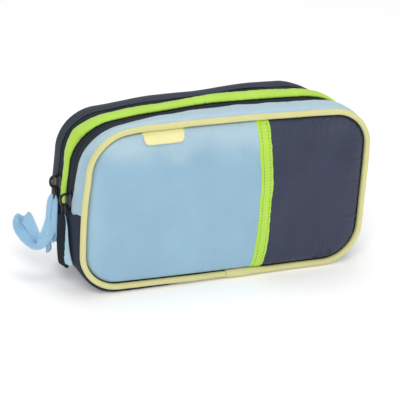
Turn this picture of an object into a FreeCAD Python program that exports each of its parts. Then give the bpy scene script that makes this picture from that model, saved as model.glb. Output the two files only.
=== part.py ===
"""Soft two-compartment zipped travel pouch, modelled in millimetres.

Row frame: +X to the right of the front panel, the front faces -Y, +Z up. The origin is the centre of
the base, on the surface the pouch stands on. Both panels open forwards and backwards about a fold line
that joins the lower ends of their zip. Every size comes from the sheet called dims.
"""
import FreeCAD
import Part
import Sketcher
import math
import os

# ----------------------------------------------------------------------------- driving dimensions
DIMENSIONS = [
    ("panel_width", 215.0, "between the piping centre lines, left to right"),
    ("panel_height", 119.0, "between the piping centre lines, bottom to top"),
    ("seam_half_depth", 31.0, "centre plane to the piping centre of either panel"),
    ("corner_radius", 27.0, "of the piping centre line"),
    ("piping_radius", 2.1, "round piping on the panel seams"),
    ("gusset_swell", 2.6, "gusset outer face outside the piping centre line"),
    ("wall_thickness", 2.4, "padded gusset: outer nylon, foam and lining"),
    ("fold_height", 54.0, "height of the zip ends and of the fold lines"),
    ("fold_clearance", 0.3, "gap on each side of a fold line"),
    ("seam_clearance", 0.15, "gap between a gusset edge and the piping"),
    ("panel_inset", 2.8, "panel edge inside the piping centre line"),
    ("shell_thickness", 2.4, "front and rear panel, nylon on foam"),
    ("shell_front", 31.6, "centre plane to the inner face of either panel"),
    ("lining_thickness", 2.4, "padded lining inside either panel"),
    ("pocket_thickness", 1.6, "light front pocket laid over the front panel"),
    ("pocket_edge", 22.5, "right edge of the front pocket"),
    ("binding_width", 9.5, "binding tape on the pocket edge"),
    ("binding_thickness", 2.2, "folded binding tape"),
    ("front_zip_depth", -5.0, "centre line of the front zip, along Y"),
    ("rear_zip_depth", 17.0, "centre line of the rear zip, along Y"),
    ("zip_half_gap", 0.8, "zip centre line to either tape edge"),
    ("tape_thickness", 0.6, "woven zip tape"),
    ("tape_level", 0.3, "tape inner face outside the piping centre line"),
    ("front_tape_reach", 4.7, "visible width of the front tape on the flap side"),
    ("rear_tape_reach", 4.4, "visible width of the rear tape on the flap side"),
    ("coil_width", 1.6, "nylon coil along the tape edge"),
    ("coil_thickness", 1.3, "nylon coil, on the inner side of the tape"),
    ("band_front", -0.5, "front edge of the raised centre band, along Y"),
    ("band_width", 13.0, "raised centre band between the two zips"),
    ("band_rise", 4.4, "outer face of the centre band outside the piping centre line"),
    ("band_level", 0.9, "inner face of the centre band outside the piping centre line"),
    ("core_width", 5.4, "filler strip under the centre band, between the tapes"),
    ("wall_depth", 6.0, "centre plane of the divider wall, along Y"),
    ("divider_thickness", 2.0, "divider wall between the compartments"),
    ("elastic_height", 26.0, "elastic holder strip on the divider"),
    ("elastic_base", 38.0, "bottom edge of the elastic holder strip"),
    ("elastic_width", 176.0, "length of the elastic holder strip"),
    ("elastic_thickness", 1.2, "elastic holder strip"),
    ("mesh_height", 62.0, "mesh pocket on the rear of the divider"),
    ("mesh_base", 12.0, "bottom edge of the mesh pocket"),
    ("mesh_width", 184.0, "length of the mesh pocket"),
    ("mesh_thickness", 0.8, "mesh pocket"),
    ("mesh_binding_height", 9.0, "bound top edge of the mesh pocket"),
    ("label_width", 33.0, "blank label tab"),
    ("label_height", 11.0, "blank label tab below the piping"),
    ("label_thickness", 1.2, "blank label tab"),
    ("label_centre", -55.5, "middle of the label tab along X"),
    ("sleeve_length", 35.0, "overlap sleeve where the piping ends meet"),
    ("sleeve_centre", 12.5, "middle of the overlap sleeve along X"),
    ("sleeve_radius", 2.6, "overlap sleeve"),
    ("slider_length", 11.0, "zip slider along the zip"),
    ("slider_width", 8.0, "zip slider across the zip"),
    ("slider_mouth", 6.4, "width of the slider's lower edge"),
    ("slider_tail", 5.2, "width of the slider's upper edge"),
    ("slider_chamfer", 1.65, "height of the corners cut off at the mouth"),
    ("slider_shoulder", 1.65, "middle of the slider to where it starts to narrow"),
    ("slider_plate", 1.2, "thickness of either slider plate"),
    ("slider_play", 0.3, "clearance of either plate over tape and coil"),
    ("slider_post", 1.0, "post that joins the two plates"),
    ("post_length", 4.0, "post along the zip"),
    ("post_inset", 0.6, "post behind the slider's mouth"),
    ("front_slider_height", 65.5, "middle of the front slider"),
    ("rear_slider_height", 70.5, "middle of the rear slider"),
    ("crown_height", 11.0, "wire crown of the slider along the zip"),
    ("crown_reach", 6.2, "wire crown outside the slider plate"),
    ("crown_bend", 2.6, "bend radius of the crown wire"),
    ("wire_radius", 0.75, "crown wire"),
    ("link_length", 9.0, "pull link eye, between its end bars"),
    ("link_width", 4.8, "pull link, between its side bars"),
    ("link_radius", 0.6, "pull link wire"),
    ("link_play", 0.15, "gap between the pull link and the crown it hangs on"),
    ("tab_width", 10.5, "webbing pull tab"),
    ("tab_length", 42.0, "webbing pull tab"),
    ("tab_thickness", 1.8, "folded webbing of the pull tab"),
    ("tab_slant", 4.0, "rise of the slanted lower end of a tab"),
    ("leaf_length", 39.0, "second leaf behind the front pull tab"),
    ("leaf_shift", 3.5, "second leaf set forward along Y"),
    ("leaf_thickness", 1.2, "second leaf behind the front pull tab"),
    ("ribbon_width", 10.0, "ribbed ribbon of the rear pull"),
    ("ribbon_thickness", 1.6, "ribbed ribbon of the rear pull"),
    ("ribbon_drop", 40.0, "hanging part of the ribbon below the pull link"),
    ("ribbon_reach", 30.0, "ribbon loop, outwards from the hanging part"),
    ("ribbon_loop_width", 11.0, "ribbon loop, front to back"),
    ("ribbon_shift", 5.0, "hanging part of the ribbon behind the zip line, along Y"),
    ("ribbon_gap", 0.4, "clearance between the tab's edge and the ribbon loop"),
]

doc = FreeCAD.newDocument("travel_pouch")
dims = doc.addObject("Spreadsheet::Sheet", "dims")
for row, (alias, value, meaning) in enumerate(DIMENSIONS, start=1):
    dims.set("A%d" % row, alias)
    dims.set("B%d" % row, str(value))
    dims.set("C%d" % row, meaning)
    dims.setAlias("B%d" % row, alias)
doc.recompute()

VALUE = {alias: value for alias, value, meaning in DIMENSIONS}
ORIGIN = -1
V_AXIS = -2
START = 1
END = 2
CENTRE = 3
subparts = []

# a measuring object that is never exported: its radius, kept positive by a shift, reads expressions
GAUGE_SHIFT = 1000.0
gauge = doc.addObject("Part::Sphere", "gauge")


def named(expression):
    """Spell out sheet names in an expression, so that a property can be bound to it."""
    for alias in sorted(VALUE, key=len, reverse=True):
        expression = expression.replace("@" + alias, "dims." + alias)
    return expression


def number(expression):
    """Value of an expression over the sheet, which starts a sketch at its solution."""
    gauge.setExpression("Radius", "%s + %r" % (named(expression), GAUGE_SHIFT))
    gauge.recompute()
    return gauge.Radius.Value - GAUGE_SHIFT


def bind(thing, path, expression):
    """Tie one property of an object to the sheet."""
    thing.setExpression(path, named(expression))


def new_body(label):
    """Start a sub-part as a body of its own."""
    body = doc.addObject("PartDesign::Body", label)
    body.Label = label
    subparts.append(body)
    return body


def new_sketch(body, name, plane, offset="0"):
    """Sketch on one of the body's origin planes, moved along the plane's normal."""
    sketch = body.newObject("Sketcher::SketchObject", body.Name + "_" + name)
    support = [item for item in body.Origin.OriginFeatures if item.Role == plane][0]
    sketch.AttachmentSupport = (support, [""])
    sketch.MapMode = "FlatFace"
    bind(sketch, "AttachmentOffset.Base.z", offset)
    return sketch


def measure(sketch, name, kind, arguments, expression):
    """Add a driving dimension that follows the sheet."""
    index = sketch.addConstraint(Sketcher.Constraint(kind, *arguments, number(expression)))
    sketch.renameConstraint(index, name)
    bind(sketch, "Constraints." + name, expression)


def pad(body, sketch, length, both=False):
    """Pad a sketch along its normal, or evenly to both sides."""
    feature = body.newObject("PartDesign::Pad", sketch.Name + "_pad")
    feature.Profile = sketch
    feature.Midplane = both
    bind(feature, "Length", length)
    sketch.Visibility = False
    return feature


# ----------------------------------------------------------------------------- sketch outlines
# Outlines follow the rounded panel. An offset is measured outwards from the piping centre line.
QUARTER_TURN = math.pi / 2
# The upper outlines are open at the fold line and closed over the top; the lower ones are upside down.
BASE = {"upper": 1.0, "lower": -1.0}


def cut_height(half):
    """Height at which an upper or lower piece ends, just clear of the fold line."""
    sign = {"upper": "+", "lower": "-"}[half]
    return "(@fold_height %s @fold_clearance)" % sign


def reach(half, offset):
    """Height of an outline's far side above or below its cut."""
    if half == "upper":
        return "(@gusset_swell + @panel_height + %s - %s)" % (offset, cut_height(half))
    return "(%s - @gusset_swell + %s)" % (cut_height(half), offset)


def arc(centre_x, centre_z, radius, quadrant):
    """Quarter circle; quadrant 0 starts at +X."""
    circle = Part.Circle(FreeCAD.Vector(centre_x, centre_z, 0), FreeCAD.Vector(0, 0, 1), radius)
    return Part.ArcOfCircle(circle, quadrant * QUARTER_TURN, (quadrant + 1) * QUARTER_TURN)


def line(x1, z1, x2, z2):
    """Straight sketch edge."""
    return Part.LineSegment(FreeCAD.Vector(x1, z1, 0), FreeCAD.Vector(x2, z2, 0))


def rim(sketch, half, offset):
    """Left side, corner, far side, corner and right side of an outline; returns their indices.

    Fixes the corners and the sides' directions, and leaves the two free ends to the caller.
    """
    up = BASE[half]
    side = number("@panel_width / 2 + " + offset)
    radius = number("@corner_radius + " + offset)
    cut = number(cut_height(half))
    far = cut + up * number(reach(half, offset))
    bend = far - up * radius
    left_quadrant, right_quadrant = (1, 0) if half == "upper" else (2, 3)
    edges = [
        line(-side, cut, -side, bend),
        arc(-side + radius, bend, radius, left_quadrant),
        line(-side + radius, far, side - radius, far),
        arc(side - radius, bend, radius, right_quadrant),
        line(side, bend, side, cut),
    ]
    first = sketch.addGeometry(edges, False)[0]
    left, corner_a, top, corner_b, right = range(first, first + 5)
    # arcs run anticlockwise, so which end meets which line depends on the half
    side_end, top_end = (END, START) if half == "upper" else (START, END)
    add = sketch.addConstraint
    add(Sketcher.Constraint("Tangent", left, END, corner_a, side_end))
    add(Sketcher.Constraint("Tangent", corner_a, top_end, top, START))
    add(Sketcher.Constraint("Tangent", top, END, corner_b, side_end))
    add(Sketcher.Constraint("Tangent", corner_b, top_end, right, START))
    add(Sketcher.Constraint("Vertical", left))
    add(Sketcher.Constraint("Vertical", right))
    add(Sketcher.Constraint("Horizontal", top))
    return left, corner_a, top, corner_b, right


def fix_rim(sketch, half, edges, offset):
    """Symmetry, half width, cut height, reach and corner radius of an outline."""
    left, corner_a, top, corner_b, right = edges
    sketch.addConstraint(Sketcher.Constraint("Symmetric", left, START, right, END, V_AXIS))
    sketch.addConstraint(Sketcher.Constraint("Equal", corner_a, corner_b))
    measure(sketch, "half_width", "DistanceX", (ORIGIN, START, right, END), "@panel_width / 2 + " + offset)
    measure(sketch, "cut_height", "DistanceY", (ORIGIN, START, right, END), cut_height(half))
    ends = (right, END, top, END) if half == "upper" else (top, END, right, END)
    measure(sketch, "reach", "DistanceY", ends, reach(half, offset))
    measure(sketch, "corner", "Radius", (corner_a,), "@corner_radius + " + offset)


def arch_sketch(body, half, y_start, outer, inner):
    """U-shaped strip between two outlines, in the plane Y = y_start."""
    sketch = new_sketch(body, "arch", "XZ_Plane", "-(%s)" % y_start)
    outside = rim(sketch, half, outer)
    inside = rim(sketch, half, inner)
    ends = [
        line(number("-@panel_width / 2 - (%s)" % outer), number(cut_height(half)),
             number("-@panel_width / 2 - (%s)" % inner), number(cut_height(half))),
        line(number("@panel_width / 2 + (%s)" % outer), number(cut_height(half)),
             number("@panel_width / 2 + (%s)" % inner), number(cut_height(half))),
    ]
    left_end, right_end = sketch.addGeometry(ends, False)
    add = sketch.addConstraint
    add(Sketcher.Constraint("Coincident", left_end, START, outside[0], START))
    add(Sketcher.Constraint("Coincident", left_end, END, inside[0], START))
    add(Sketcher.Constraint("Coincident", right_end, START, outside[4], END))
    add(Sketcher.Constraint("Coincident", right_end, END, inside[4], END))
    add(Sketcher.Constraint("Horizontal", left_end))
    add(Sketcher.Constraint("Horizontal", right_end))
    add(Sketcher.Constraint("Coincident", outside[1], CENTRE, inside[1], CENTRE))
    add(Sketcher.Constraint("Coincident", outside[3], CENTRE, inside[3], CENTRE))
    fix_rim(sketch, half, outside, outer)
    measure(sketch, "thickness", "DistanceX", (inside[4], END, outside[4], END),
            "%s - (%s)" % (outer, inner))
    return sketch


def plate_sketch(body, half, y_start, offset):
    """Closed outline of the upper or lower part of a panel, in the plane Y = y_start."""
    sketch = new_sketch(body, "plate", "XZ_Plane", "-(%s)" % y_start)
    edges = rim(sketch, half, offset)
    side = number("@panel_width / 2 + " + offset)
    cut = number(cut_height(half))
    closing = sketch.addGeometry(line(-side, cut, side, cut), False)
    sketch.addConstraint(Sketcher.Constraint("Coincident", closing, START, edges[0], START))
    sketch.addConstraint(Sketcher.Constraint("Coincident", closing, END, edges[4], END))
    fix_rim(sketch, half, edges, offset)
    return sketch


def corner_plate_sketch(body, half, y_start, offset, right_edge):
    """The part of a panel left of right_edge: one rounded corner and three square ones."""
    sketch = new_sketch(body, "plate", "XZ_Plane", "-(%s)" % y_start)
    up = BASE[half]
    side = number("@panel_width / 2 + " + offset)
    radius = number("@corner_radius + " + offset)
    cut = number(cut_height(half))
    far = cut + up * number(reach(half, offset))
    edge_x = number(right_edge)
    quadrant, side_end, top_end = (1, END, START) if half == "upper" else (2, START, END)
    edges = [
        line(-side, cut, -side, far - up * radius),
        arc(-side + radius, far - up * radius, radius, quadrant),
        line(-side + radius, far, edge_x, far),
        line(edge_x, far, edge_x, cut),
        line(edge_x, cut, -side, cut),
    ]
    left, corner, top, right, closing = sketch.addGeometry(edges, False)
    add = sketch.addConstraint
    add(Sketcher.Constraint("Tangent", left, END, corner, side_end))
    add(Sketcher.Constraint("Tangent", corner, top_end, top, START))
    add(Sketcher.Constraint("Coincident", top, END, right, START))
    add(Sketcher.Constraint("Coincident", right, END, closing, START))
    add(Sketcher.Constraint("Coincident", closing, END, left, START))
    add(Sketcher.Constraint("Vertical", left))
    add(Sketcher.Constraint("Horizontal", top))
    add(Sketcher.Constraint("Vertical", right))
    add(Sketcher.Constraint("Horizontal", closing))
    measure(sketch, "half_width", "DistanceX", (left, START, ORIGIN, START), "@panel_width / 2 + " + offset)
    measure(sketch, "right_edge", "DistanceX", (ORIGIN, START, right, END), right_edge)
    measure(sketch, "cut_height", "DistanceY", (ORIGIN, START, right, END), cut_height(half))
    ends = (right, END, top, END) if half == "upper" else (top, END, right, END)
    measure(sketch, "reach", "DistanceY", ends, reach(half, offset))
    measure(sketch, "corner", "Radius", (corner,), "@corner_radius + " + offset)
    return sketch


# ----------------------------------------------------------------------------- kinds of sub-part
def arch_strip(label, half, y_from, y_to, outer, inner):
    """Strip of fabric, tape or coil that runs round the pouch between two depths."""
    body = new_body(label)
    sketch = arch_sketch(body, half, y_to, outer, inner)
    pad(body, sketch, "(%s) - (%s)" % (y_to, y_from))
    return body


def panel_plate(label, half, y_from, y_to, offset):
    """Flat part of a panel between two depths."""
    body = new_body(label)
    sketch = plate_sketch(body, half, y_to, offset)
    pad(body, sketch, "(%s) - (%s)" % (y_to, y_from))
    return body


def piping_run(label, half, depth):
    """Round piping along the panel seam, above or below the fold line."""
    body = new_body(label)
    path = new_sketch(body, "path", "XZ_Plane", "-(%s)" % depth)
    edges = rim(path, half, "0")
    fix_rim(path, half, edges, "0")
    ring = new_sketch(body, "ring", "XY_Plane", cut_height(half))
    centre = FreeCAD.Vector(number("-@panel_width / 2"), number(depth), 0)
    circle = Part.Circle(centre, FreeCAD.Vector(0, 0, 1), number("@piping_radius"))
    index = ring.addGeometry(circle, False)
    measure(ring, "radius", "Radius", (index,), "@piping_radius")
    measure(ring, "side", "DistanceX", (index, CENTRE, ORIGIN, START), "@panel_width / 2")
    if number(depth) < 0:
        measure(ring, "depth", "DistanceY", (index, CENTRE, ORIGIN, START), "-(%s)" % depth)
    else:
        measure(ring, "depth", "DistanceY", (ORIGIN, START, index, CENTRE), depth)
    pipe = body.newObject("PartDesign::AdditivePipe", label + "_pipe")
    pipe.Profile = ring
    pipe.Spine = (path, [])
    return body


def slab(label, lengths, corner):
    """Rectangular piece with its low corner and its three lengths tied to the sheet."""
    box = doc.addObject("Part::Box", label)
    box.Label = label
    for side, expression in zip(("Length", "Width", "Height"), lengths):
        bind(box, side, expression)
    for axis, expression in zip("xyz", corner):
        bind(box, "Placement.Base." + axis, expression)
    subparts.append(box)
    return box


def polygon(sketch, points):
    """Closed polygon whose corners follow the sheet, given as pairs of expressions."""
    corners = [(number(across), number(up)) for across, up in points]
    count = len(corners)
    edges = [line(*corners[i], *corners[(i + 1) % count]) for i in range(count)]
    indices = sketch.addGeometry(edges, False)
    for i in range(count):
        after = (i + 1) % count
        sketch.addConstraint(Sketcher.Constraint("Coincident", indices[i], END, indices[after], START))
    for i, (across, up) in enumerate(points):
        for axis, text, place in (("X", across, corners[i][0]), ("Y", up, corners[i][1])):
            kind = "Distance" + axis
            name = "corner_%d_%s" % (i, axis.lower())
            if place < 0:
                measure(sketch, name, kind, (indices[i], START, ORIGIN, START), "-(%s)" % text)
            else:
                measure(sketch, name, kind, (ORIGIN, START, indices[i], START), text)
    return indices


# ----------------------------------------------------------------------------- gusset and zips
GUSSET_OUTER = "@gusset_swell"
GUSSET_INNER = "(@gusset_swell - @wall_thickness)"
TAPE_OUTER = "(@tape_level + @tape_thickness)"
TAPE_INNER = "@tape_level"
COIL_INNER = "(@tape_level - @coil_thickness)"
FRONT_EDGE = "(-@seam_half_depth + @sleeve_radius + @seam_clearance)"
REAR_EDGE = "(@seam_half_depth - @sleeve_radius - @seam_clearance)"
FRONT_TAPE_EDGE = "(@front_zip_depth - @zip_half_gap - @front_tape_reach)"
REAR_TAPE_EDGE = "(@rear_zip_depth + @zip_half_gap + @rear_tape_reach)"
CORE_FRONT = "(@wall_depth - @core_width / 2)"
CORE_REAR = "(@wall_depth + @core_width / 2)"

arch_strip("lower_gusset", "lower", FRONT_EDGE, REAR_EDGE, GUSSET_OUTER, GUSSET_INNER)
arch_strip("front_upper_band", "upper", FRONT_EDGE, FRONT_TAPE_EDGE, GUSSET_OUTER, GUSSET_INNER)
arch_strip("rear_upper_band", "upper", REAR_TAPE_EDGE, REAR_EDGE, GUSSET_OUTER, GUSSET_INNER)
arch_strip("centre_band", "upper", "@band_front", "@band_front + @band_width", "@band_rise", "@band_level")
arch_strip("centre_band_core", "upper", CORE_FRONT, CORE_REAR, "@band_level", GUSSET_INNER)

TAPES = [
    ("front_zip_frame_tape", "@front_zip_depth + @zip_half_gap", CORE_FRONT),
    ("front_zip_flap_tape", FRONT_TAPE_EDGE, "@front_zip_depth - @zip_half_gap"),
    ("rear_zip_frame_tape", CORE_REAR, "@rear_zip_depth - @zip_half_gap"),
    ("rear_zip_flap_tape", "@rear_zip_depth + @zip_half_gap", REAR_TAPE_EDGE),
]
for label, y_from, y_to in TAPES:
    arch_strip(label, "upper", y_from, y_to, TAPE_OUTER, TAPE_INNER)

COILS = [
    ("front_zip_frame_coil", "@front_zip_depth", 1),
    ("front_zip_flap_coil", "@front_zip_depth", -1),
    ("rear_zip_frame_coil", "@rear_zip_depth", -1),
    ("rear_zip_flap_coil", "@rear_zip_depth", 1),
]
for label, depth, side in COILS:
    if side > 0:
        y_from = "%s + @zip_half_gap" % depth
        y_to = "%s + @zip_half_gap + @coil_width" % depth
    else:
        y_from = "%s - @zip_half_gap - @coil_width" % depth
        y_to = "%s - @zip_half_gap" % depth
    arch_strip(label, "upper", y_from, y_to, TAPE_INNER, COIL_INNER)

# ----------------------------------------------------------------------------- panels
SHELL_INNER = "@shell_front"
SHELL_OUTER = "(@shell_front + @shell_thickness)"
LINING_INNER = "(@shell_front - @lining_thickness)"
PANEL_OFFSET = "-@panel_inset"
POCKET_OUTER = "(@shell_front + @shell_thickness + @pocket_thickness)"

for half in ("upper", "lower"):
    panel_plate("front_panel_" + half, half, "-" + SHELL_OUTER, "-" + SHELL_INNER, PANEL_OFFSET)
    panel_plate("front_lining_" + half, half, "-" + SHELL_INNER, "-" + LINING_INNER, PANEL_OFFSET)
    panel_plate("rear_panel_" + half, half, SHELL_INNER, SHELL_OUTER, PANEL_OFFSET)
    panel_plate("rear_lining_" + half, half, LINING_INNER, SHELL_INNER, PANEL_OFFSET)
    piping_run("front_piping_" + half, half, "-@seam_half_depth")
    piping_run("rear_piping_" + half, half, "@seam_half_depth")
    pocket = new_body("front_pocket_" + half)
    pocket_sketch = corner_plate_sketch(pocket, half, "-" + SHELL_OUTER, PANEL_OFFSET, "@pocket_edge")
    pad(pocket, pocket_sketch, "@pocket_thickness")

BINDING_TOP = "(@gusset_swell + @panel_height - @panel_inset)"
BINDING_BOTTOM = "(@gusset_swell + @panel_inset)"
BINDING_FRONT = "-%s - @binding_thickness" % SHELL_OUTER
slab("pocket_binding_upper",
     ("@binding_width", "@binding_thickness", "%s - %s" % (BINDING_TOP, cut_height("upper"))),
     ("@pocket_edge", BINDING_FRONT, cut_height("upper")))
slab("pocket_binding_lower",
     ("@binding_width", "@binding_thickness", "%s - %s" % (cut_height("lower"), BINDING_BOTTOM)),
     ("@pocket_edge", BINDING_FRONT, BINDING_BOTTOM))

label_body = new_body("label_tab")
label_sketch = new_sketch(label_body, "outline", "XZ_Plane", POCKET_OUTER)
LABEL_LOW = "%s - @label_height" % BINDING_TOP
polygon(label_sketch, [
    ("@label_centre - @label_width / 2", LABEL_LOW),
    ("@label_centre + @label_width / 2", LABEL_LOW),
    ("@label_centre + @label_width / 2", BINDING_TOP),
    ("@label_centre - @label_width / 2", BINDING_TOP),
])
pad(label_body, label_sketch, "@label_thickness")

sleeve = new_body("piping_joint_sleeve")
sleeve_sketch = new_sketch(sleeve, "ring", "YZ_Plane", "@sleeve_centre")
sleeve_centre = FreeCAD.Vector(-VALUE["seam_half_depth"], VALUE["gusset_swell"], 0)
for name, radius in (("inner", "@piping_radius"), ("outer", "@sleeve_radius")):
    circle = Part.Circle(sleeve_centre, FreeCAD.Vector(0, 0, 1), number(radius))
    index = sleeve_sketch.addGeometry(circle, False)
    measure(sleeve_sketch, name + "_radius", "Radius", (index,), radius)
    measure(sleeve_sketch, name + "_depth", "DistanceX", (index, CENTRE, ORIGIN, START), "@seam_half_depth")
    measure(sleeve_sketch, name + "_height", "DistanceY", (ORIGIN, START, index, CENTRE), "@gusset_swell")
pad(sleeve, sleeve_sketch, "@sleeve_length", both=True)

# ----------------------------------------------------------------------------- inside
def full_plate_sketch(body, y_start, offset):
    """Whole rounded outline of the pouch, in the plane Y = y_start."""
    sketch = new_sketch(body, "plate", "XZ_Plane", "-(%s)" % y_start)
    side = number("@panel_width / 2 + " + offset)
    top = number("@gusset_swell + @panel_height + " + offset)
    bottom = number("@gusset_swell - " + offset)
    radius = number("@corner_radius + " + offset)
    edges = [
        line(-side, bottom + radius, -side, top - radius),
        arc(-side + radius, top - radius, radius, 1),
        line(-side + radius, top, side - radius, top),
        arc(side - radius, top - radius, radius, 0),
        line(side, top - radius, side, bottom + radius),
        arc(side - radius, bottom + radius, radius, 3),
        line(side - radius, bottom, -side + radius, bottom),
        arc(-side + radius, bottom + radius, radius, 2),
    ]
    left, arc_a, upper, arc_b, right, arc_c, lower, arc_d = sketch.addGeometry(edges, False)
    add = sketch.addConstraint
    joins = [(left, arc_a), (arc_a, upper), (upper, arc_b), (arc_b, right),
             (right, arc_c), (arc_c, lower), (lower, arc_d), (arc_d, left)]
    arcs = (arc_a, arc_b, arc_c, arc_d)
    for before, after in joins:
        leaving = START if before in arcs else END
        entering = END if after in arcs else START
        add(Sketcher.Constraint("Tangent", before, leaving, after, entering))
    for side_line in (left, right):
        add(Sketcher.Constraint("Vertical", side_line))
    for level_line in (upper, lower):
        add(Sketcher.Constraint("Horizontal", level_line))
    for other in arcs[1:]:
        add(Sketcher.Constraint("Equal", arc_a, other))
    half_width = "@panel_width / 2 + " + offset
    measure(sketch, "left_side", "DistanceX", (left, START, ORIGIN, START), half_width)
    measure(sketch, "right_side", "DistanceX", (ORIGIN, START, right, START), half_width)
    measure(sketch, "top", "DistanceY", (ORIGIN, START, upper, START),
            "@gusset_swell + @panel_height + " + offset)
    measure(sketch, "bottom", "DistanceY", (ORIGIN, START, lower, START), "@gusset_swell - " + offset)
    measure(sketch, "corner", "Radius", (arc_a,), "@corner_radius + " + offset)
    return sketch


DIVIDER_FRONT = "(@wall_depth - @divider_thickness / 2)"
DIVIDER_REAR = "(@wall_depth + @divider_thickness / 2)"
divider = new_body("divider_wall")
divider_sketch = full_plate_sketch(divider, DIVIDER_REAR, GUSSET_INNER)
pad(divider, divider_sketch, "@divider_thickness")

slab("elastic_holder",
     ("@elastic_width", "@elastic_thickness", "@elastic_height"),
     ("-@elastic_width / 2", DIVIDER_FRONT + " - @elastic_thickness", "@elastic_base"))
slab("mesh_pocket",
     ("@mesh_width", "@mesh_thickness", "@mesh_height"),
     ("-@mesh_width / 2", DIVIDER_REAR, "@mesh_base"))
slab("mesh_pocket_binding",
     ("@mesh_width", "2 * @mesh_thickness", "@mesh_binding_height"),
     ("-@mesh_width / 2", DIVIDER_REAR, "@mesh_base + @mesh_height"))

# ----------------------------------------------------------------------------- sliders and pulls
# Everything here is on the left side of the pouch, where X is negative.
PLATE_IN = "(@panel_width / 2 + %s + @slider_play)" % TAPE_OUTER
PLATE_OUT = "(%s + @slider_plate)" % PLATE_IN
INNER_PLATE_OUT = "(@panel_width / 2 + %s - @slider_play)" % COIL_INNER
INNER_PLATE_IN = "(%s - @slider_plate)" % INNER_PLATE_OUT
PIVOT_X = "(%s + @crown_reach / 2)" % PLATE_OUT
PIVOT_DROP = "(@crown_height / 2 - 2 * @wire_radius - @link_radius - @link_play)"


def slider_outline(sketch, depth, height):
    """Slider plate seen from the side of the pouch: wide mouth below, narrow tail above."""
    low, high = "-@slider_length / 2", "@slider_length / 2"
    right = [
        ("@slider_mouth / 2", low),
        ("@slider_width / 2", low + " + @slider_chamfer"),
        ("@slider_width / 2", "@slider_shoulder"),
        ("@slider_tail / 2", high),
    ]
    left = [("-(%s)" % across, up) for across, up in reversed(right)]
    polygon(sketch, [("%s + (%s)" % (depth, across), "%s + (%s)" % (height, up)) for across, up in right + left])


def slider_body(label, depth, height):
    """Two plates joined by a post that runs in the gap between the two tapes."""
    body = new_body(label)
    outer = new_sketch(body, "outer", "YZ_Plane", "-" + PLATE_OUT)
    slider_outline(outer, depth, height)
    pad(body, outer, "@slider_plate")
    post = new_sketch(body, "post", "YZ_Plane", "-" + PLATE_IN)
    half = "@slider_post / 2"
    low = "%s - @slider_length / 2 + @post_inset" % height
    polygon(post, [
        ("%s - %s" % (depth, half), low),
        ("%s + %s" % (depth, half), low),
        ("%s + %s" % (depth, half), low + " + @post_length"),
        ("%s - %s" % (depth, half), low + " + @post_length"),
    ])
    pad(body, post, "%s - %s" % (PLATE_IN, INNER_PLATE_OUT))
    inner = new_sketch(body, "inner", "YZ_Plane", "-" + INNER_PLATE_OUT)
    slider_outline(inner, depth, height)
    pad(body, inner, "@slider_plate")
    return body


def place(sketch, name, kind, geometry, position, expression):
    """Distance of a point from the origin along one axis, on whichever side it lies."""
    if number(expression) < 0:
        measure(sketch, name, kind, (geometry, position, ORIGIN, START), "-(%s)" % expression)
    else:
        measure(sketch, name, kind, (ORIGIN, START, geometry, position), expression)


def slider_crown(label, depth, height):
    """D-shaped wire on the slider that the pull link hangs from."""
    body = new_body(label)
    path = new_sketch(body, "path", "XZ_Plane", "-(%s)" % depth)
    foot = "-" + PLATE_OUT
    out = "-(%s + @crown_reach)" % PLATE_OUT
    top = "%s + @crown_height / 2 - @wire_radius" % height
    bottom = "%s - @crown_height / 2 + @wire_radius" % height
    foot_x, out_x, top_z, bottom_z = number(foot), number(out), number(top), number(bottom)
    bend = number("@crown_bend")
    edges = [
        line(foot_x, top_z, out_x + bend, top_z),
        arc(out_x + bend, top_z - bend, bend, 1),
        line(out_x, top_z - bend, out_x, bottom_z + bend),
        arc(out_x + bend, bottom_z + bend, bend, 2),
        line(out_x + bend, bottom_z, foot_x, bottom_z),
    ]
    upper, bend_a, upright, bend_b, lower = path.addGeometry(edges, False)
    add = path.addConstraint
    add(Sketcher.Constraint("Tangent", upper, END, bend_a, START))
    add(Sketcher.Constraint("Tangent", bend_a, END, upright, START))
    add(Sketcher.Constraint("Tangent", upright, END, bend_b, START))
    add(Sketcher.Constraint("Tangent", bend_b, END, lower, START))
    add(Sketcher.Constraint("Horizontal", upper))
    add(Sketcher.Constraint("Vertical", upright))
    add(Sketcher.Constraint("Horizontal", lower))
    add(Sketcher.Constraint("Equal", bend_a, bend_b))
    measure(path, "bend", "Radius", (bend_a,), "@crown_bend")
    place(path, "top_foot", "DistanceX", upper, START, foot)
    place(path, "low_foot", "DistanceX", lower, END, foot)
    place(path, "reach", "DistanceX", upright, START, out)
    place(path, "top", "DistanceY", upper, START, top)
    place(path, "bottom", "DistanceY", lower, END, bottom)
    ring = new_sketch(body, "ring", "YZ_Plane", foot)
    centre = FreeCAD.Vector(number(depth), top_z, 0)
    circle = Part.Circle(centre, FreeCAD.Vector(0, 0, 1), number("@wire_radius"))
    index = ring.addGeometry(circle, False)
    measure(ring, "radius", "Radius", (index,), "@wire_radius")
    place(ring, "depth", "DistanceX", index, CENTRE, depth)
    place(ring, "height", "DistanceY", index, CENTRE, top)
    pipe = body.newObject("PartDesign::AdditivePipe", label + "_pipe")
    pipe.Profile = ring
    pipe.Spine = (path, [])
    return body


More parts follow.
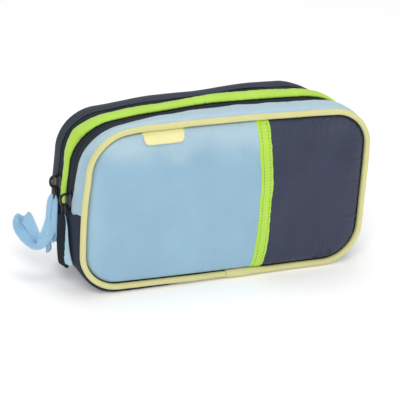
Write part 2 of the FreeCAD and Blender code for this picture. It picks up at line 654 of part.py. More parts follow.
def slot_outline(sketch, name, upright, near, far, side, radius):
    """Closed slot: two half circles at near and far on one axis, at side on the other."""
    near_at, far_at, side_at, size = number(near), number(far), number(side), number(radius)
    up = FreeCAD.Vector(0, 0, 1)

    def half_circle(along, first_quarter):
        centre = FreeCAD.Vector(side_at, along, 0) if upright else FreeCAD.Vector(along, side_at, 0)
        return Part.ArcOfCircle(Part.Circle(centre, up, size), first_quarter * QUARTER_TURN,
                                (first_quarter + 2) * QUARTER_TURN)

    if upright:
        edges = [half_circle(near_at, 2), line(side_at + size, near_at, side_at + size, far_at),
                 half_circle(far_at, 0), line(side_at - size, far_at, side_at - size, near_at)]
        direction, along_axis, side_axis = "Vertical", "DistanceY", "DistanceX"
    else:
        edges = [half_circle(far_at, 3), line(far_at, side_at + size, near_at, side_at + size),
                 half_circle(near_at, 1), line(near_at, side_at - size, far_at, side_at - size)]
        near, far = far, near
        direction, along_axis, side_axis = "Horizontal", "DistanceX", "DistanceY"
    first, line_a, second, line_b = sketch.addGeometry(edges, False)
    for before, after in ((first, line_a), (line_a, second), (second, line_b), (line_b, first)):
        sketch.addConstraint(Sketcher.Constraint("Tangent", before, END, after, START))
    for edge in (line_a, line_b):
        sketch.addConstraint(Sketcher.Constraint(direction, edge))
    measure(sketch, name + "_radius", "Radius", (first,), radius)
    place(sketch, name + "_near", along_axis, first, CENTRE, near)
    place(sketch, name + "_far", along_axis, second, CENTRE, far)
    place(sketch, name + "_side", side_axis, first, CENTRE, side)


def pull_link(label, depth, height):
    """Upright wire eye through the crown; its upper bar is the pull's pivot."""
    body = new_body(label)
    sketch = new_sketch(body, "eye", "YZ_Plane", "-" + PIVOT_X)
    top = "%s - %s" % (height, PIVOT_DROP)
    curve = "(@link_width / 2)"
    for name, radius in (("outer", curve + " + @link_radius"), ("inner", curve + " - @link_radius")):
        slot_outline(sketch, name, True, "%s - @link_length + %s" % (top, curve),
                     "%s - %s" % (top, curve), depth, radius)
    pad(body, sketch, "2 * @link_radius", both=True)
    return body


def tab_top(height):
    """Upper edge of the webbing, at the underside of the link."""
    return "(%s - %s - @link_length - @link_radius)" % (height, PIVOT_DROP)


def webbing_tab(label, plane, centre, length, height, thickness):
    """Flat webbing tab with a slanted lower end; plane is its outer face along X."""
    body = new_body(label)
    sketch = new_sketch(body, "outline", "YZ_Plane", "-(%s)" % plane)
    half = "@tab_width / 2"
    top = tab_top(height)
    polygon(sketch, [
        ("%s - %s" % (centre, half), "%s - %s" % (top, length)),
        ("%s + %s" % (centre, half), "%s - %s + @tab_slant" % (top, length)),
        ("%s + %s" % (centre, half), top),
        ("%s - %s" % (centre, half), top),
    ])
    pad(body, sketch, thickness)
    return body


TAB_OUT = "(%s + @tab_thickness / 2)" % PIVOT_X
TAB_IN = "(%s - @tab_thickness / 2)" % PIVOT_X
for end in ("front", "rear"):
    depth = "@%s_zip_depth" % end
    height = "@%s_slider_height" % end
    slider_body(end + "_slider_body", depth, height)
    slider_crown(end + "_slider_crown", depth, height)
    pull_link(end + "_pull_link", depth, height)
    webbing_tab(end + "_pull_tab", TAB_OUT, depth, "@tab_length", height, "@tab_thickness")
webbing_tab("front_pull_leaf", TAB_IN, "@front_zip_depth - @leaf_shift", "@leaf_length",
            "@front_slider_height", "@leaf_thickness")

ribbon = new_body("rear_pull_ribbon")
RIBBON_Y = "(@rear_zip_depth + @ribbon_shift)"
LOOP_Y = "(@rear_zip_depth + @tab_width / 2 + @ribbon_gap + @ribbon_loop_width / 2)"
hanging = new_sketch(ribbon, "hanging", "YZ_Plane", "-" + TAB_IN)
RIBBON_TOP = tab_top("@rear_slider_height")
polygon(hanging, [
    (RIBBON_Y + " - @ribbon_width / 2", RIBBON_TOP + " - @ribbon_drop"),
    (RIBBON_Y + " + @ribbon_width / 2", RIBBON_TOP + " - @ribbon_drop"),
    (RIBBON_Y + " + @ribbon_width / 2", RIBBON_TOP),
    (RIBBON_Y + " - @ribbon_width / 2", RIBBON_TOP),
])
pad(ribbon, hanging, "@ribbon_thickness")
loop = new_sketch(ribbon, "loop", "XY_Plane", RIBBON_TOP + " - @ribbon_drop")
LOOP_NEAR = "-(%s - @ribbon_thickness + @ribbon_loop_width / 2)" % TAB_IN
for name, inset in (("outer", "0"), ("inner", "@ribbon_thickness")):
    slot_outline(loop, name, False, LOOP_NEAR + " - @ribbon_reach + @ribbon_loop_width", LOOP_NEAR,
                 LOOP_Y, "@ribbon_loop_width / 2 - " + inset)
pad(ribbon, loop, "@ribbon_width")

# ----------------------------------------------------------------------------- check and export
doc.recompute()
faults = []
for item in doc.Objects:
    if "Invalid" in item.State or "Error" in item.State:
        faults.append("%s: %s" % (item.Name, item.State))
for item in subparts:
    if item.Shape.isNull() or not item.Shape.isValid() or not item.Shape.Solids:
        faults.append(item.Label + ": no valid solid")
if faults:
    raise RuntimeError("; ".join(faults))

os.makedirs("parts", exist_ok=True)
for item in subparts:
    item.Shape.exportStep("parts/%s.step" % item.Label)
    box = item.Shape.BoundBox
    print("%-26s %9.1f mm3  X %7.1f %7.1f  Y %6.1f %6.1f  Z %6.1f %6.1f" % (
        item.Label, item.Shape.Volume, box.XMin, box.XMax, box.YMin, box.YMax, box.ZMin, box.ZMax))
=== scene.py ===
"""Looks of a soft zipped travel pouch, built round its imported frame. Metres, row frame.

Every soft piece is laid out on straight panels and rounded corners first, and soften() then gives all of them
the same slack, so that neighbouring pieces stay together.
"""
import math

import bpy
import numpy as np
from mathutils import Matrix, Vector


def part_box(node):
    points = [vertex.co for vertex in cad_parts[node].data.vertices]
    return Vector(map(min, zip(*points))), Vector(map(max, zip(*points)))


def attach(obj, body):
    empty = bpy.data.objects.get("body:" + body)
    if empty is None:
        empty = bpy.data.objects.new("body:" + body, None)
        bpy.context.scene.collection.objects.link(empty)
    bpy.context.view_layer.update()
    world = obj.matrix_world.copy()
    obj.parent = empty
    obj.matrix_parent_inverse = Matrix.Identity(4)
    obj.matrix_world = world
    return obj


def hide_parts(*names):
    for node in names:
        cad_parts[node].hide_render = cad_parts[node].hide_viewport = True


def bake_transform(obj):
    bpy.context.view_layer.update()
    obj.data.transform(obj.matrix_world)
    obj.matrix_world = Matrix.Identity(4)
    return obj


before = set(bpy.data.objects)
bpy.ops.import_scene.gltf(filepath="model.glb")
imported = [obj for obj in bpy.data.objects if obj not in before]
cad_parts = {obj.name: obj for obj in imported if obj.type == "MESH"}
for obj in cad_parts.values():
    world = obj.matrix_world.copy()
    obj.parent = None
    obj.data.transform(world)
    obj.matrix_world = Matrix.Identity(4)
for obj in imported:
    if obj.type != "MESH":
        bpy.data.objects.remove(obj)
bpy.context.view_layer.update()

MM = 0.001
STEP = 1.15 * MM  # usual spacing of a strip's stations

# ---- sizes read from the frame
upper_low, upper_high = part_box("front_piping_upper")
lower_low, lower_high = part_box("front_piping_lower")
rear_low, rear_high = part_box("rear_piping_upper")
PIPING = (upper_high.y - upper_low.y) / 2  # piping radius
HALF_WIDTH = upper_high.x - PIPING  # piping centre line
TOP = upper_high.z - PIPING
BOTTOM = lower_low.z + PIPING
FRONT = (upper_low.y + upper_high.y) / 2  # depth of the front seam
REAR = (rear_low.y + rear_high.y) / 2
FOLD = (upper_low.z + lower_high.z) / 2  # height of the fold lines and zip ends
CORNER = 27 * MM
MIDDLE = (TOP + BOTTOM) / 2
HALF_HEIGHT = (TOP - BOTTOM) / 2
FRONT_ZIP = (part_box("front_zip_flap_tape")[1].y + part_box("front_zip_frame_tape")[0].y) / 2
REAR_ZIP = (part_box("rear_zip_flap_tape")[0].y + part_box("rear_zip_frame_tape")[1].y) / 2
BAND_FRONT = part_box("centre_band")[0].y
BAND_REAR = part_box("centre_band")[1].y
FRONT_BAND_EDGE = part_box("front_upper_band")[1].y
REAR_BAND_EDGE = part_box("rear_upper_band")[0].y

# ---- camera
AZIMUTH = math.radians(24.5)
ELEVATION = math.radians(23.2)
ROLL = math.radians(4.1)
DISTANCE = 1.5
LENS_MM, SENSOR_MM = 185.8, 36
forward = Vector((math.sin(AZIMUTH) * math.cos(ELEVATION), math.cos(AZIMUTH) * math.cos(ELEVATION),
                  -math.sin(ELEVATION)))
level_right = Vector((math.cos(AZIMUTH), -math.sin(AZIMUTH), 0))
level_up = level_right.cross(forward)
cam_right = math.cos(ROLL) * level_right + math.sin(ROLL) * level_up
cam_up = math.cos(ROLL) * level_up - math.sin(ROLL) * level_right
aim = Vector((0, 6 * MM, MIDDLE)) - 5.4 * MM * cam_right - 15.2 * MM * cam_up
TILT = math.atan2(1.5 * MM, HALF_WIDTH)  # the pouch leans a little, its left side off the surface
lean = (Matrix.Translation((HALF_WIDTH, 0, 0)) @ Matrix.Rotation(TILT, 4, "Y")
        @ Matrix.Translation((-HALF_WIDTH, 0, 0)))
camera = bpy.data.objects.new("camera", bpy.data.cameras.new("camera"))
camera.data.sensor_width = SENSOR_MM
camera.data.lens = LENS_MM
camera.data.clip_start = 0.05
camera.data.clip_end = 50
camera.matrix_world = lean @ Matrix((
    (cam_right.x, cam_up.x, -forward.x, aim.x - forward.x * DISTANCE),
    (cam_right.y, cam_up.y, -forward.y, aim.y - forward.y * DISTANCE),
    (cam_right.z, cam_up.z, -forward.z, aim.z - forward.z * DISTANCE),
    (0, 0, 0, 1)))
bpy.context.scene.collection.objects.link(camera)
bpy.context.scene.camera = camera


# ---- materials
def fill_inputs(tree, node, inputs):
    """Give a node's inputs their values, or link them where the value is another node's output."""
    for key, value in inputs.items():
        if isinstance(value, bpy.types.NodeSocket):
            tree.links.new(value, node.inputs[key])
        else:
            node.inputs[key].default_value = value


def add_node(tree, kind, inputs, **settings):
    node = tree.nodes.new("ShaderNode" + kind)
    for key, value in settings.items():
        setattr(node, key, value)
    fill_inputs(tree, node, inputs)
    return node


def math_node(tree, operation, first, second):
    return add_node(tree, "Math", {0: first, 1: second}, operation=operation).outputs[0]


def weighted(tree, *terms):
    """Sum of sockets, each times its weight."""
    scaled = [math_node(tree, "MULTIPLY", socket, weight) for socket, weight in terms]
    total = scaled[0]
    for term in scaled[1:]:
        total = math_node(tree, "ADD", total, term)
    return total


def noise_node(tree, place, scale, detail):
    inputs = {"Vector": place.outputs["Object"], "Scale": scale, "Detail": detail}
    return add_node(tree, "TexNoise", inputs).outputs["Fac"]


def thread_waves(tree, place, pitch, **inputs):
    """Waves both ways along the cloth, with threads at a pitch in mm."""
    inputs.update(Vector=place.outputs["UV"], Scale=2 * math.pi / (20 * pitch * MM))
    return [add_node(tree, "TexWave", inputs, bands_direction=direction).outputs["Fac"] for direction in "XY"]


def two_tone(tree, level, color, change, ends):
    """Colour that goes from a darker to a lighter tone as the level passes both ends."""
    ramp = add_node(tree, "ValToRGB", {"Fac": level})
    for element, place, sign in zip(ramp.color_ramp.elements, ends, (-1, 1)):
        element.position = place
        element.color = (*[min(1.0, c * (1 + sign * change)) for c in color], 1)
    return ramp.outputs["Color"]


def new_material(name):
    """A material, its node tree, its shader and its texture coordinates."""
    material = bpy.data.materials.new(name)
    material.use_nodes = True
    tree = material.node_tree
    return material, tree, tree.nodes["Principled BSDF"], tree.nodes.new("ShaderNodeTexCoord")


def add_painted_sheen(tree, place, color, amount):
    """Painted highlight: the colour is mixed towards a pale tint towards the top seam and, weaker, the left
    end, with an uneven border, where glossy nylon would catch the light.
    """
    parts = add_node(tree, "SeparateXYZ", {"Vector": place.outputs["Object"]})
    noise = noise_node(tree, place, 38, 5)
    sheen_masks = []
    for axis, sign, low, high, top, reach in (("Z", 1, 92 * MM, 118 * MM, 1.0, 34 * MM),
                                              ("X", -1, 90 * MM, 106 * MM, 0.35, 18 * MM)):
        level = weighted(tree, (parts.outputs[axis], float(sign)), (noise, reach))
        sheen_mask = add_node(tree, "MapRange", {"From Min": low + reach / 2, "From Max": high + reach / 2,
                                            "To Max": amount * top, "Value": level},
                         interpolation_type="SMOOTHSTEP")
        sheen_masks.append(sheen_mask.outputs["Result"])
    mix = tree.nodes.new("ShaderNodeMix")
    mix.data_type = "RGBA"
    mix.inputs["B"].default_value = PAINTED_SHEEN_TINT
    tree.links.new(math_node(tree, "MAXIMUM", *sheen_masks), mix.inputs["Factor"])
    tree.links.new(color, mix.inputs["A"])
    return mix.outputs["Result"]


def fabric(name, color, pitch=0.45, roughness=0.5, sheen=0.25, weave=0.25, tint=0.10, specular=0.4, painted_sheen=0.0):
    """Woven cloth: warp and weft at a pitch in mm, uneven dye, and a little sheen, with an optional painted
    highlight.
    """
    material, tree, shader, place = new_material(name)
    warp, weft = thread_waves(tree, place, pitch, Distortion=0.6, Detail=1.0)
    thread = math_node(tree, "MULTIPLY", warp, weft)
    clouds = noise_node(tree, place, 1 / (22 * MM), 4)
    grain = noise_node(tree, place, 1400, 2)
    dye = weighted(tree, (clouds, 0.72), (grain, 0.16), (thread, 0.18))
    dyed = two_tone(tree, dye, color, tint, (0.3, 0.7))
    # painted highlight: the base colour is paled towards the top and the left end
    if painted_sheen:
        dyed = add_painted_sheen(tree, place, dyed, painted_sheen)
    height = math_node(tree, "ADD", thread, math_node(tree, "MULTIPLY", grain, 0.5))
    bump = add_node(tree, "Bump", {"Strength": weave, "Distance": 0.12 * MM, "Height": height})
    fill_inputs(tree, shader, {"Roughness": roughness, "Sheen Weight": sheen, "Sheen Roughness": 0.4,
                               "Specular IOR Level": specular, "Base Color": dyed,
                               "Normal": bump.outputs["Normal"]})
    return material


def netting(name, color, pitch):
    """Knitted net: threads both ways at a pitch in mm, open between them."""
    material = fabric(name, color, pitch=0.3, roughness=0.7, sheen=0.1)
    tree = material.node_tree
    threads = thread_waves(tree, tree.nodes.new("ShaderNodeTexCoord"), pitch)
    solid = math_node(tree, "GREATER_THAN", math_node(tree, "MAXIMUM", *threads), 0.72)
    fill_inputs(tree, tree.nodes["Principled BSDF"], {"Alpha": solid})
    return material


def hard(name, color, roughness, metallic=0.0):
    """Enamelled metal or moulded plastic: slight unevenness of gloss and colour."""
    material, tree, shader, place = new_material(name)
    noise = noise_node(tree, place, 600, 3)
    gloss = math_node(tree, "ADD", math_node(tree, "MULTIPLY", noise, 0.16), roughness - 0.08)
    bump = add_node(tree, "Bump", {"Strength": 0.08, "Distance": 0.05 * MM, "Height": noise})
    fill_inputs(tree, shader, {"Metallic": metallic, "Specular IOR Level": 0.5, "Roughness": gloss,
                               "Base Color": two_tone(tree, noise, color, 0.1, (0.35, 0.65)),
                               "Normal": bump.outputs["Normal"]})
    return material


BLUE = (0.280, 0.472, 0.612)
NAVY = (0.026, 0.034, 0.072)
LIME = (0.46, 0.74, 0.075)
YELLOW = (0.70, 0.67, 0.30)
# pale tint of the painted highlight on glossy nylon
PAINTED_SHEEN_TINT = (0.62, 0.75, 0.80, 1)
# blue nylon gets a strong painted highlight towards the top and left end, and navy nylon a faint one
blue_nylon = fabric("blue_nylon", BLUE, roughness=0.42, sheen=0.3, tint=0.06, specular=0.5, painted_sheen=0.42)
navy_nylon = fabric("navy_nylon", NAVY, roughness=0.42, sheen=0.06, tint=0.14, painted_sheen=0.012)
navy_canvas = fabric("navy_canvas", (0.026, 0.033, 0.052), pitch=0.5, roughness=0.7, sheen=0.0, specular=0.12)
navy_twill = fabric("navy_twill", (0.040, 0.050, 0.068), pitch=0.5, roughness=0.65, sheen=0.0, specular=0.2)
lime_nylon = fabric("lime_nylon", LIME, roughness=0.55, sheen=0.2, tint=0.07)
yellow_cover = fabric("yellow_cover", YELLOW, pitch=0.35, sheen=0.2, tint=0.05, weave=0.15)
navy_cover = fabric("navy_cover", (0.03, 0.036, 0.062), pitch=0.35, sheen=0.2)
label_satin = fabric("label_satin", (0.88, 0.84, 0.42), pitch=0.3, roughness=0.45, sheen=0.2, tint=0.04)
zip_weave = fabric("zip_weave", (0.024, 0.031, 0.042), pitch=0.5, roughness=0.75, sheen=0.0, weave=0.6,
                   tint=0.15, specular=0.15)
grey_lining = fabric("grey_lining", (0.36, 0.38, 0.41), pitch=0.5, roughness=0.7, sheen=0.2)
elastic_knit = fabric("elastic_knit", (0.05, 0.055, 0.08), pitch=0.9, roughness=0.75, sheen=0.3, weave=0.6)
navy_webbing = fabric("navy_webbing", (0.011, 0.015, 0.026), pitch=0.55, roughness=0.7, sheen=0.0, weave=0.5,
                      specular=0.15)
blue_webbing = fabric("blue_webbing", (0.36, 0.60, 0.80), roughness=0.6, sheen=0.15, weave=0.35)
pale_webbing = fabric("pale_webbing", (0.40, 0.60, 0.72), roughness=0.6, sheen=0.15, weave=0.35)
coil_nylon = hard("coil_nylon", (0.030, 0.036, 0.058), 0.45)
black_enamel = hard("black_enamel", (0.010, 0.010, 0.011), 0.28)
lime_thread = fabric("lime_thread", (0.13, 0.24, 0.02), pitch=0.3, roughness=0.6, tint=0.05)
net_mesh = netting("net_mesh", (0.04, 0.045, 0.07), 1.2)
slider_enamel = hard("slider_enamel", (0.060, 0.060, 0.064), 0.38, metallic=0.2)


# ---- slack of the whole pouch
def smooth(value):
    """Smooth step of an array from 0 to 1."""
    value = np.clip(value, 0, 1)
    return value * value * (3 - 2 * value)


def soften(points):
    """The pouch's slack: crowned top, barrelled sides, a top that sinks at its rear corners, and the lean."""
    moved = np.array(points, float)
    x, y, z = moved[..., 0].copy(), moved[..., 1].copy(), moved[..., 2].copy()
    across = np.clip(x / HALF_WIDTH, -1, 1)
    height = (z - MIDDLE) / HALF_HEIGHT
    above = np.clip(height, 0, 1)
    below = np.clip(-height, 0, 1)
    depth = np.clip((y - FRONT) / (REAR - FRONT), 0, 1)
    moved[..., 2] += (2.6 * (1 - across ** 2) - 1.4) * MM * above
    moved[..., 2] += 1.0 * MM * np.abs(across) ** 3 * below
    moved[..., 0] += 0.9 * MM * across * (1 - np.clip(height, -1, 1) ** 2)
    # the rear half of the top is slack on the left, and both rear corners are rounder than the front ones
    slack = 3.5 * smooth(1.6 * depth) * smooth((45 * MM * smooth(2 * depth - 1) - x) / (58 * MM))
    left = 3.3 * smooth(((25 * depth - 62) * MM - x) / (46 * MM))
    right = 12 * smooth(1.1 * depth) * smooth((x - (70 - 9 * depth) * MM) / (48 * MM))
    moved[..., 2] -= (slack + left + right) * MM * smooth((z - FOLD) / (38 * MM))
    shoulder = np.exp(-((z - 97 * MM) / (20 * MM)) ** 2) * smooth((-60 * MM - x) / (40 * MM))
    moved[..., 0] += 1.8 * MM * (1 - 0.5 * depth) * shoulder
    # the lean
    side, up = moved[..., 0] - HALF_WIDTH, moved[..., 2].copy()
    moved[..., 0] = HALF_WIDTH + side * math.cos(TILT) + up * math.sin(TILT)
    moved[..., 2] = np.maximum(up * math.cos(TILT) - side * math.sin(TILT), 0)
    return moved


def lifted(x):
    """How far the slack and the lean lift the base seam off the surface."""
    return 1.0 * MM * np.abs(np.clip(x / HALF_WIDTH, -1, 1)) ** 3 + (HALF_WIDTH - x) * math.sin(TILT)


def waves_1d(along, seed, lengths):
    """Smooth uneven line: sines of several lengths in mm with fixed phases, about -1 to 1."""
    random = np.random.RandomState(seed)
    total = np.zeros_like(along)
    for length in lengths:
        total += np.sin(2 * math.pi * along / (length * MM) + random.uniform(0, 2 * math.pi))
    return total / len(lengths)


def waves_2d(first, second, seed, length, count=7):
    """Smooth uneven surface: sines in several fixed directions, about -1 to 1."""
    random = np.random.RandomState(seed)
    total = np.zeros_like(first)
    for _ in range(count):
        angle = random.uniform(0, 2 * math.pi)
        size = length * random.uniform(0.7, 1.5)
        phase = random.uniform(0, 2 * math.pi)
        total += np.sin(2 * math.pi * (first * math.cos(angle) + second * math.sin(angle)) / size + phase)
    return total / math.sqrt(count * 2)


# ---- meshes
def make_object(name, vertices, faces, material, uvs=None):
    mesh = bpy.data.meshes.new(name)
    mesh.from_pydata([tuple(v) for v in vertices], [], [tuple(f) for f in faces])
    mesh.update()
    if uvs is not None:
        layer = mesh.uv_layers.new(name="UVMap")
        flat = [component for face in uvs for corner in face for component in corner]
        layer.data.foreach_set("uv", flat)
    mesh.materials.append(material)
    mesh.polygons.foreach_set("use_smooth", [True] * len(mesh.polygons))
    piece = bpy.data.objects.new(name, mesh)
    bpy.context.scene.collection.objects.link(piece)
    return piece


def grid_faces(rows, columns, wrap_rows=False, wrap_columns=False, first=0, flip=False):
    """Quads of a grid, and each corner's (row, column) without wrapping, for its UV."""
    faces, corners = [], []
    for i in range(rows if wrap_rows else rows - 1):
        for j in range(columns if wrap_columns else columns - 1):
            square = [(i, j), (i, j + 1), (i + 1, j + 1), (i + 1, j)]
            if flip:
                square.reverse()
            faces.append([first + (a % rows) * columns + (b % columns) for a, b in square])
            corners.append(square)
    return faces, corners


def spread(values, wrap):
    """Running length along rows or columns, with one more entry where the grid closes."""
    steps = np.linalg.norm(np.diff(values, axis=0), axis=1)
    lengths = np.concatenate([[0], np.cumsum(steps)])
    if wrap:
        lengths = np.append(lengths, lengths[-1] + np.linalg.norm(values[0] - values[-1]))
    return lengths


def cap_faces(vertices, ring):
    """Triangles that close a ring, walked from its first point down both of its sides at once."""
    faces = []
    near, far = 0, len(ring) - 1
    while far - near > 1:
        ahead = vertices[ring[near + 1]] - vertices[ring[far]]
        behind = vertices[ring[far - 1]] - vertices[ring[near]]
        if ahead @ ahead <= behind @ behind:
            faces.append([ring[near], ring[near + 1], ring[far]])
            near += 1
        else:
            faces.append([ring[near], ring[far - 1], ring[far]])
            far -= 1
    return faces


def grid_object(name, points, material, wrap_rows=False, wrap_columns=False, caps=False, flip=False):
    """Piece from a grid of points; caps close both ends of a tube."""
    points = np.asarray(points, float)
    rows, columns = points.shape[:2]
    faces, corners = grid_faces(rows, columns, wrap_rows, wrap_columns, flip=flip)
    along = spread(points[:, columns // 2], wrap_rows)
    across = spread(points[rows // 2], wrap_columns)
    uvs = [[(along[a], across[b]) for a, b in square] for square in corners]
    vertices = points.reshape(-1, 3)
    if caps:
        for row, turn in ((0, not flip), (rows - 1, flip)):
            ring = [row * columns + j for j in range(columns)]
            if not turn:
                ring.reverse()
            for face in cap_faces(vertices, ring):
                faces.append(face)
                uvs.append([(vertices[k, 1], vertices[k, 2]) for k in face])
    return make_object(name, vertices, faces, material, uvs)


def tube(name, grid, material, flip=False):
    """Closed piece of the slack pouch from the rings in a grid."""
    return grid_object(name, soften(grid), material, wrap_columns=True, caps=True, flip=flip)


def placed(x, y, z):
    """Grid of points from arrays that fill one another out."""
    return np.stack(np.broadcast_arrays(x, y, z), axis=-1)


def outline(half, step=STEP):
    """Points and outward normals along the piping centre line, and the length run, left to right.

    half is upper, lower or whole; whole starts and ends at the middle of the base.
    """
    flat = HALF_WIDTH - CORNER
    quarter = math.pi / 2 * CORNER
    if half == "whole":
        rise = 2 * HALF_HEIGHT - 2 * CORNER
        legs = [flat, quarter, rise, quarter, 2 * flat, quarter, rise, quarter, flat]
        x, z, heading, turn = 0.0, BOTTOM, math.pi, -1
    else:
        rise = TOP - CORNER - FOLD if half == "upper" else FOLD - BOTTOM - CORNER
        legs = [rise, quarter, 2 * flat, quarter, rise]
        turn = -1 if half == "upper" else 1
        x, z, heading = -HALF_WIDTH, FOLD, -turn * math.pi / 2
    points, normals, run, total = [], [], [], 0.0

    def on_arc(centre, angle):
        return centre[0] + turn * CORNER * math.sin(angle), centre[1] - turn * CORNER * math.cos(angle)

    for index, length in enumerate(legs):
        straight = index % 2 == 0
        centre = (x - turn * CORNER * math.sin(heading), z + turn * CORNER * math.cos(heading))
        count = max(2, int(round(length / step)))
        for i in range(count):
            part = length * i / count
            angle = heading if straight else heading + turn * part / CORNER
            if straight:
                points.append((x + part * math.cos(heading), z + part * math.sin(heading)))
            else:
                points.append(on_arc(centre, angle))
            normals.append((turn * math.sin(angle), -turn * math.cos(angle)))
            run.append(total + part)
        if straight:
            x, z = x + length * math.cos(heading), z + length * math.sin(heading)
        else:
            heading += turn * math.pi / 2
            x, z = on_arc(centre, heading)
        total += length
    if half != "whole":
        points.append((x, z))
        normals.append((turn * math.sin(heading), -turn * math.cos(heading)))
        run.append(total)
    return np.array(points), np.array(normals), np.array(run)


def sweep(half, section, step=STEP):
    """Points of a strip round the pouch. section(run, points, normals) gives (depth, offset) arrays, one row
    per station; the offset is outwards from the piping centre line."""
    points, normals, run = outline(half, step)
    depth, offset = section(run, points, normals)
    x, z = (points[:, k, None] + normals[:, k, None] * offset for k in (0, 1))
    return placed(x, depth, z), run


def spline_point(p0, p1, p2, p3, t):
    """Point of a uniform cubic B-spline between its second and third control points."""
    return ((1 - t) ** 3 * p0 + (3 * t ** 3 - 6 * t ** 2 + 4) * p1
            + (-3 * t ** 3 + 3 * t ** 2 + 3 * t + 1) * p2 + t ** 3 * p3) / 6


def smooth_loop(corners, per_corner=4):
    """Closed section through given corners, rounded by the spline."""
    corners = np.array(corners, float)
    count = len(corners)
    return np.array([spline_point(*(corners[(i + k) % count] for k in range(-1, 3)), step / per_corner)
                     for i in range(count) for step in range(per_corner)])


# ---- floor and light
def stage_floor():
    mesh = bpy.data.meshes.new("floor")
    reach = 6.0
    corners = [(-reach, -reach, 0), (reach, -reach, 0), (reach, reach, 0), (-reach, reach, 0)]
    mesh.from_pydata(corners, [], [(0, 1, 2, 3)])
    floor = bpy.data.objects.new("floor", mesh)
    material = bpy.data.materials.new("floor_paper")
    material.use_nodes = True
    tree = material.node_tree
    fill_inputs(tree, tree.nodes["Principled BSDF"], {
        "Base Color": (0.92, 0.92, 0.92, 1), "Roughness": 0.9,
        "Emission Color": (1, 1, 1, 1), "Emission Strength": 0.2})
    mesh.materials.append(material)
    bpy.context.scene.collection.objects.link(floor)


def area_light(name, place, target, size, power):
    light = bpy.data.lights.new(name, "AREA")
    light.shape = "DISK"
    light.size = size
    light.energy = power
    lamp = bpy.data.objects.new(name, light)
    lamp.location = place
    lamp.rotation_mode = "QUATERNION"
    lamp.rotation_quaternion = (Vector(target) - Vector(place)).to_track_quat("-Z", "Y")
    bpy.context.scene.collection.objects.link(lamp)


def studio():
    world = bpy.data.worlds.new("studio")
    bpy.context.scene.world = world
    world.use_nodes = True
    tree = world.node_tree
    fill_inputs(tree, tree.nodes["Background"], {"Color": (1, 1, 1, 1), "Strength": 0.52})
    area_light("key", (-0.6, -1.1, 1.3), (0, 0, 0.05), 0.8, 10.5)
    area_light("fill", (1.1, -0.9, 0.7), (0, 0, 0.05), 0.9, 2.5)
    area_light("top", (0.1, 0.3, 1.4), (0, 0, 0.05), 0.8, 5)
    bpy.context.scene.view_settings.view_transform = "Standard"


stage_floor()
studio()


# ---- panels
def mm(value):
    return value / MM


def rim_place(x, z):
    """Inset from the piping centre line, and the length run round it, of points of a panel."""
    reach_x = np.abs(x) - (HALF_WIDTH - CORNER)
    upper = z > MIDDLE
    reach_z = np.where(upper, z - (TOP - CORNER), (BOTTOM + CORNER) - z)
    in_corner = (reach_x > 0) & (reach_z > 0)
    to_side = HALF_WIDTH - np.abs(x)
    to_level = np.where(upper, TOP - z, z - BOTTOM)
    inset = np.where(in_corner, CORNER - np.hypot(reach_x, reach_z), np.minimum(to_side, to_level))
    flat = HALF_WIDTH - CORNER
    corner_run = flat + CORNER * np.arctan2(np.maximum(reach_x, 0), np.maximum(reach_z, 1e-9))
    side_run = flat + CORNER * math.pi / 2 - reach_z
    run = np.where(in_corner, corner_run, np.where(to_side < to_level, side_run, np.abs(x)))
    run = run * np.sign(x) + np.where(upper, 0, 0.7)
    return inset, run


def pillow(x, z, inset):
    """How far a padded panel stands out of its seam plane."""
    edge = 3.9 * MM * (1 - np.exp(-np.maximum(inset - 2.9 * MM, 0) / (1.8 * MM))) - 1.9 * MM
    u = np.clip(np.abs(x) / HALF_WIDTH, 0, 1)
    v = np.clip(np.abs(z - MIDDLE) / HALF_HEIGHT, 0, 1)
    return edge + 3.4 * MM * (1 - u ** 2.6) * (1 - v ** 2.4)


def gathers(inset, run, seed, size):
    """Short puckers that run in from the seam."""
    lines = waves_1d(run, seed, [3.1, 4.3, 5.9, 8.7])
    strength = 0.55 + 0.45 * waves_1d(run, seed + 1, [31, 47])
    fade = np.exp(-np.maximum(inset - 4 * MM, 0) / (6.0 * MM)) * smooth((inset - 2.6 * MM) / (2.0 * MM))
    return size * lines * strength * fade


def panel_relief(x, z, seed, pucker, rumple):
    """Height of a panel's outer face outside its seam plane, with puckers and soft folds."""
    inset, run = rim_place(x, z)
    height = pillow(x, z, inset)
    height += gathers(inset, run, seed, pucker)
    inner = smooth((inset - 3 * MM) / (12 * MM))
    height += rumple * inner * waves_2d(x, z, seed + 5, 46 * MM)
    height += 0.35 * rumple * inner * waves_2d(x, z * 0.55, seed + 6, 19 * MM)
    return height


def panel_rows(inset, step):
    """Left boundary of a panel from bottom to top, as half widths and heights."""
    points, normals, _ = outline("whole", step)
    edge = points - normals * inset
    left = edge[points[:, 0] <= 0]
    left = left[np.argsort(left[:, 1], kind="stable")]
    keep = [0]
    for i in range(1, len(left)):
        if left[i, 1] - left[keep[-1], 1] > 0.22 * MM:
            keep.append(i)
    return np.abs(left[keep, 0]), left[keep, 1]


def panel_grid(inset, right_edge, columns, step=STEP):
    """x and z of a panel's grid; its right edge follows the outline or is a function of height."""
    half, heights = panel_rows(inset, step)
    share = np.linspace(0, 1, columns)[None, :]
    right = half if right_edge is None else right_edge(heights)
    x = -half[:, None] * (1 - share) + right[:, None] * share
    z = np.repeat(heights[:, None], columns, axis=1)
    return x, z


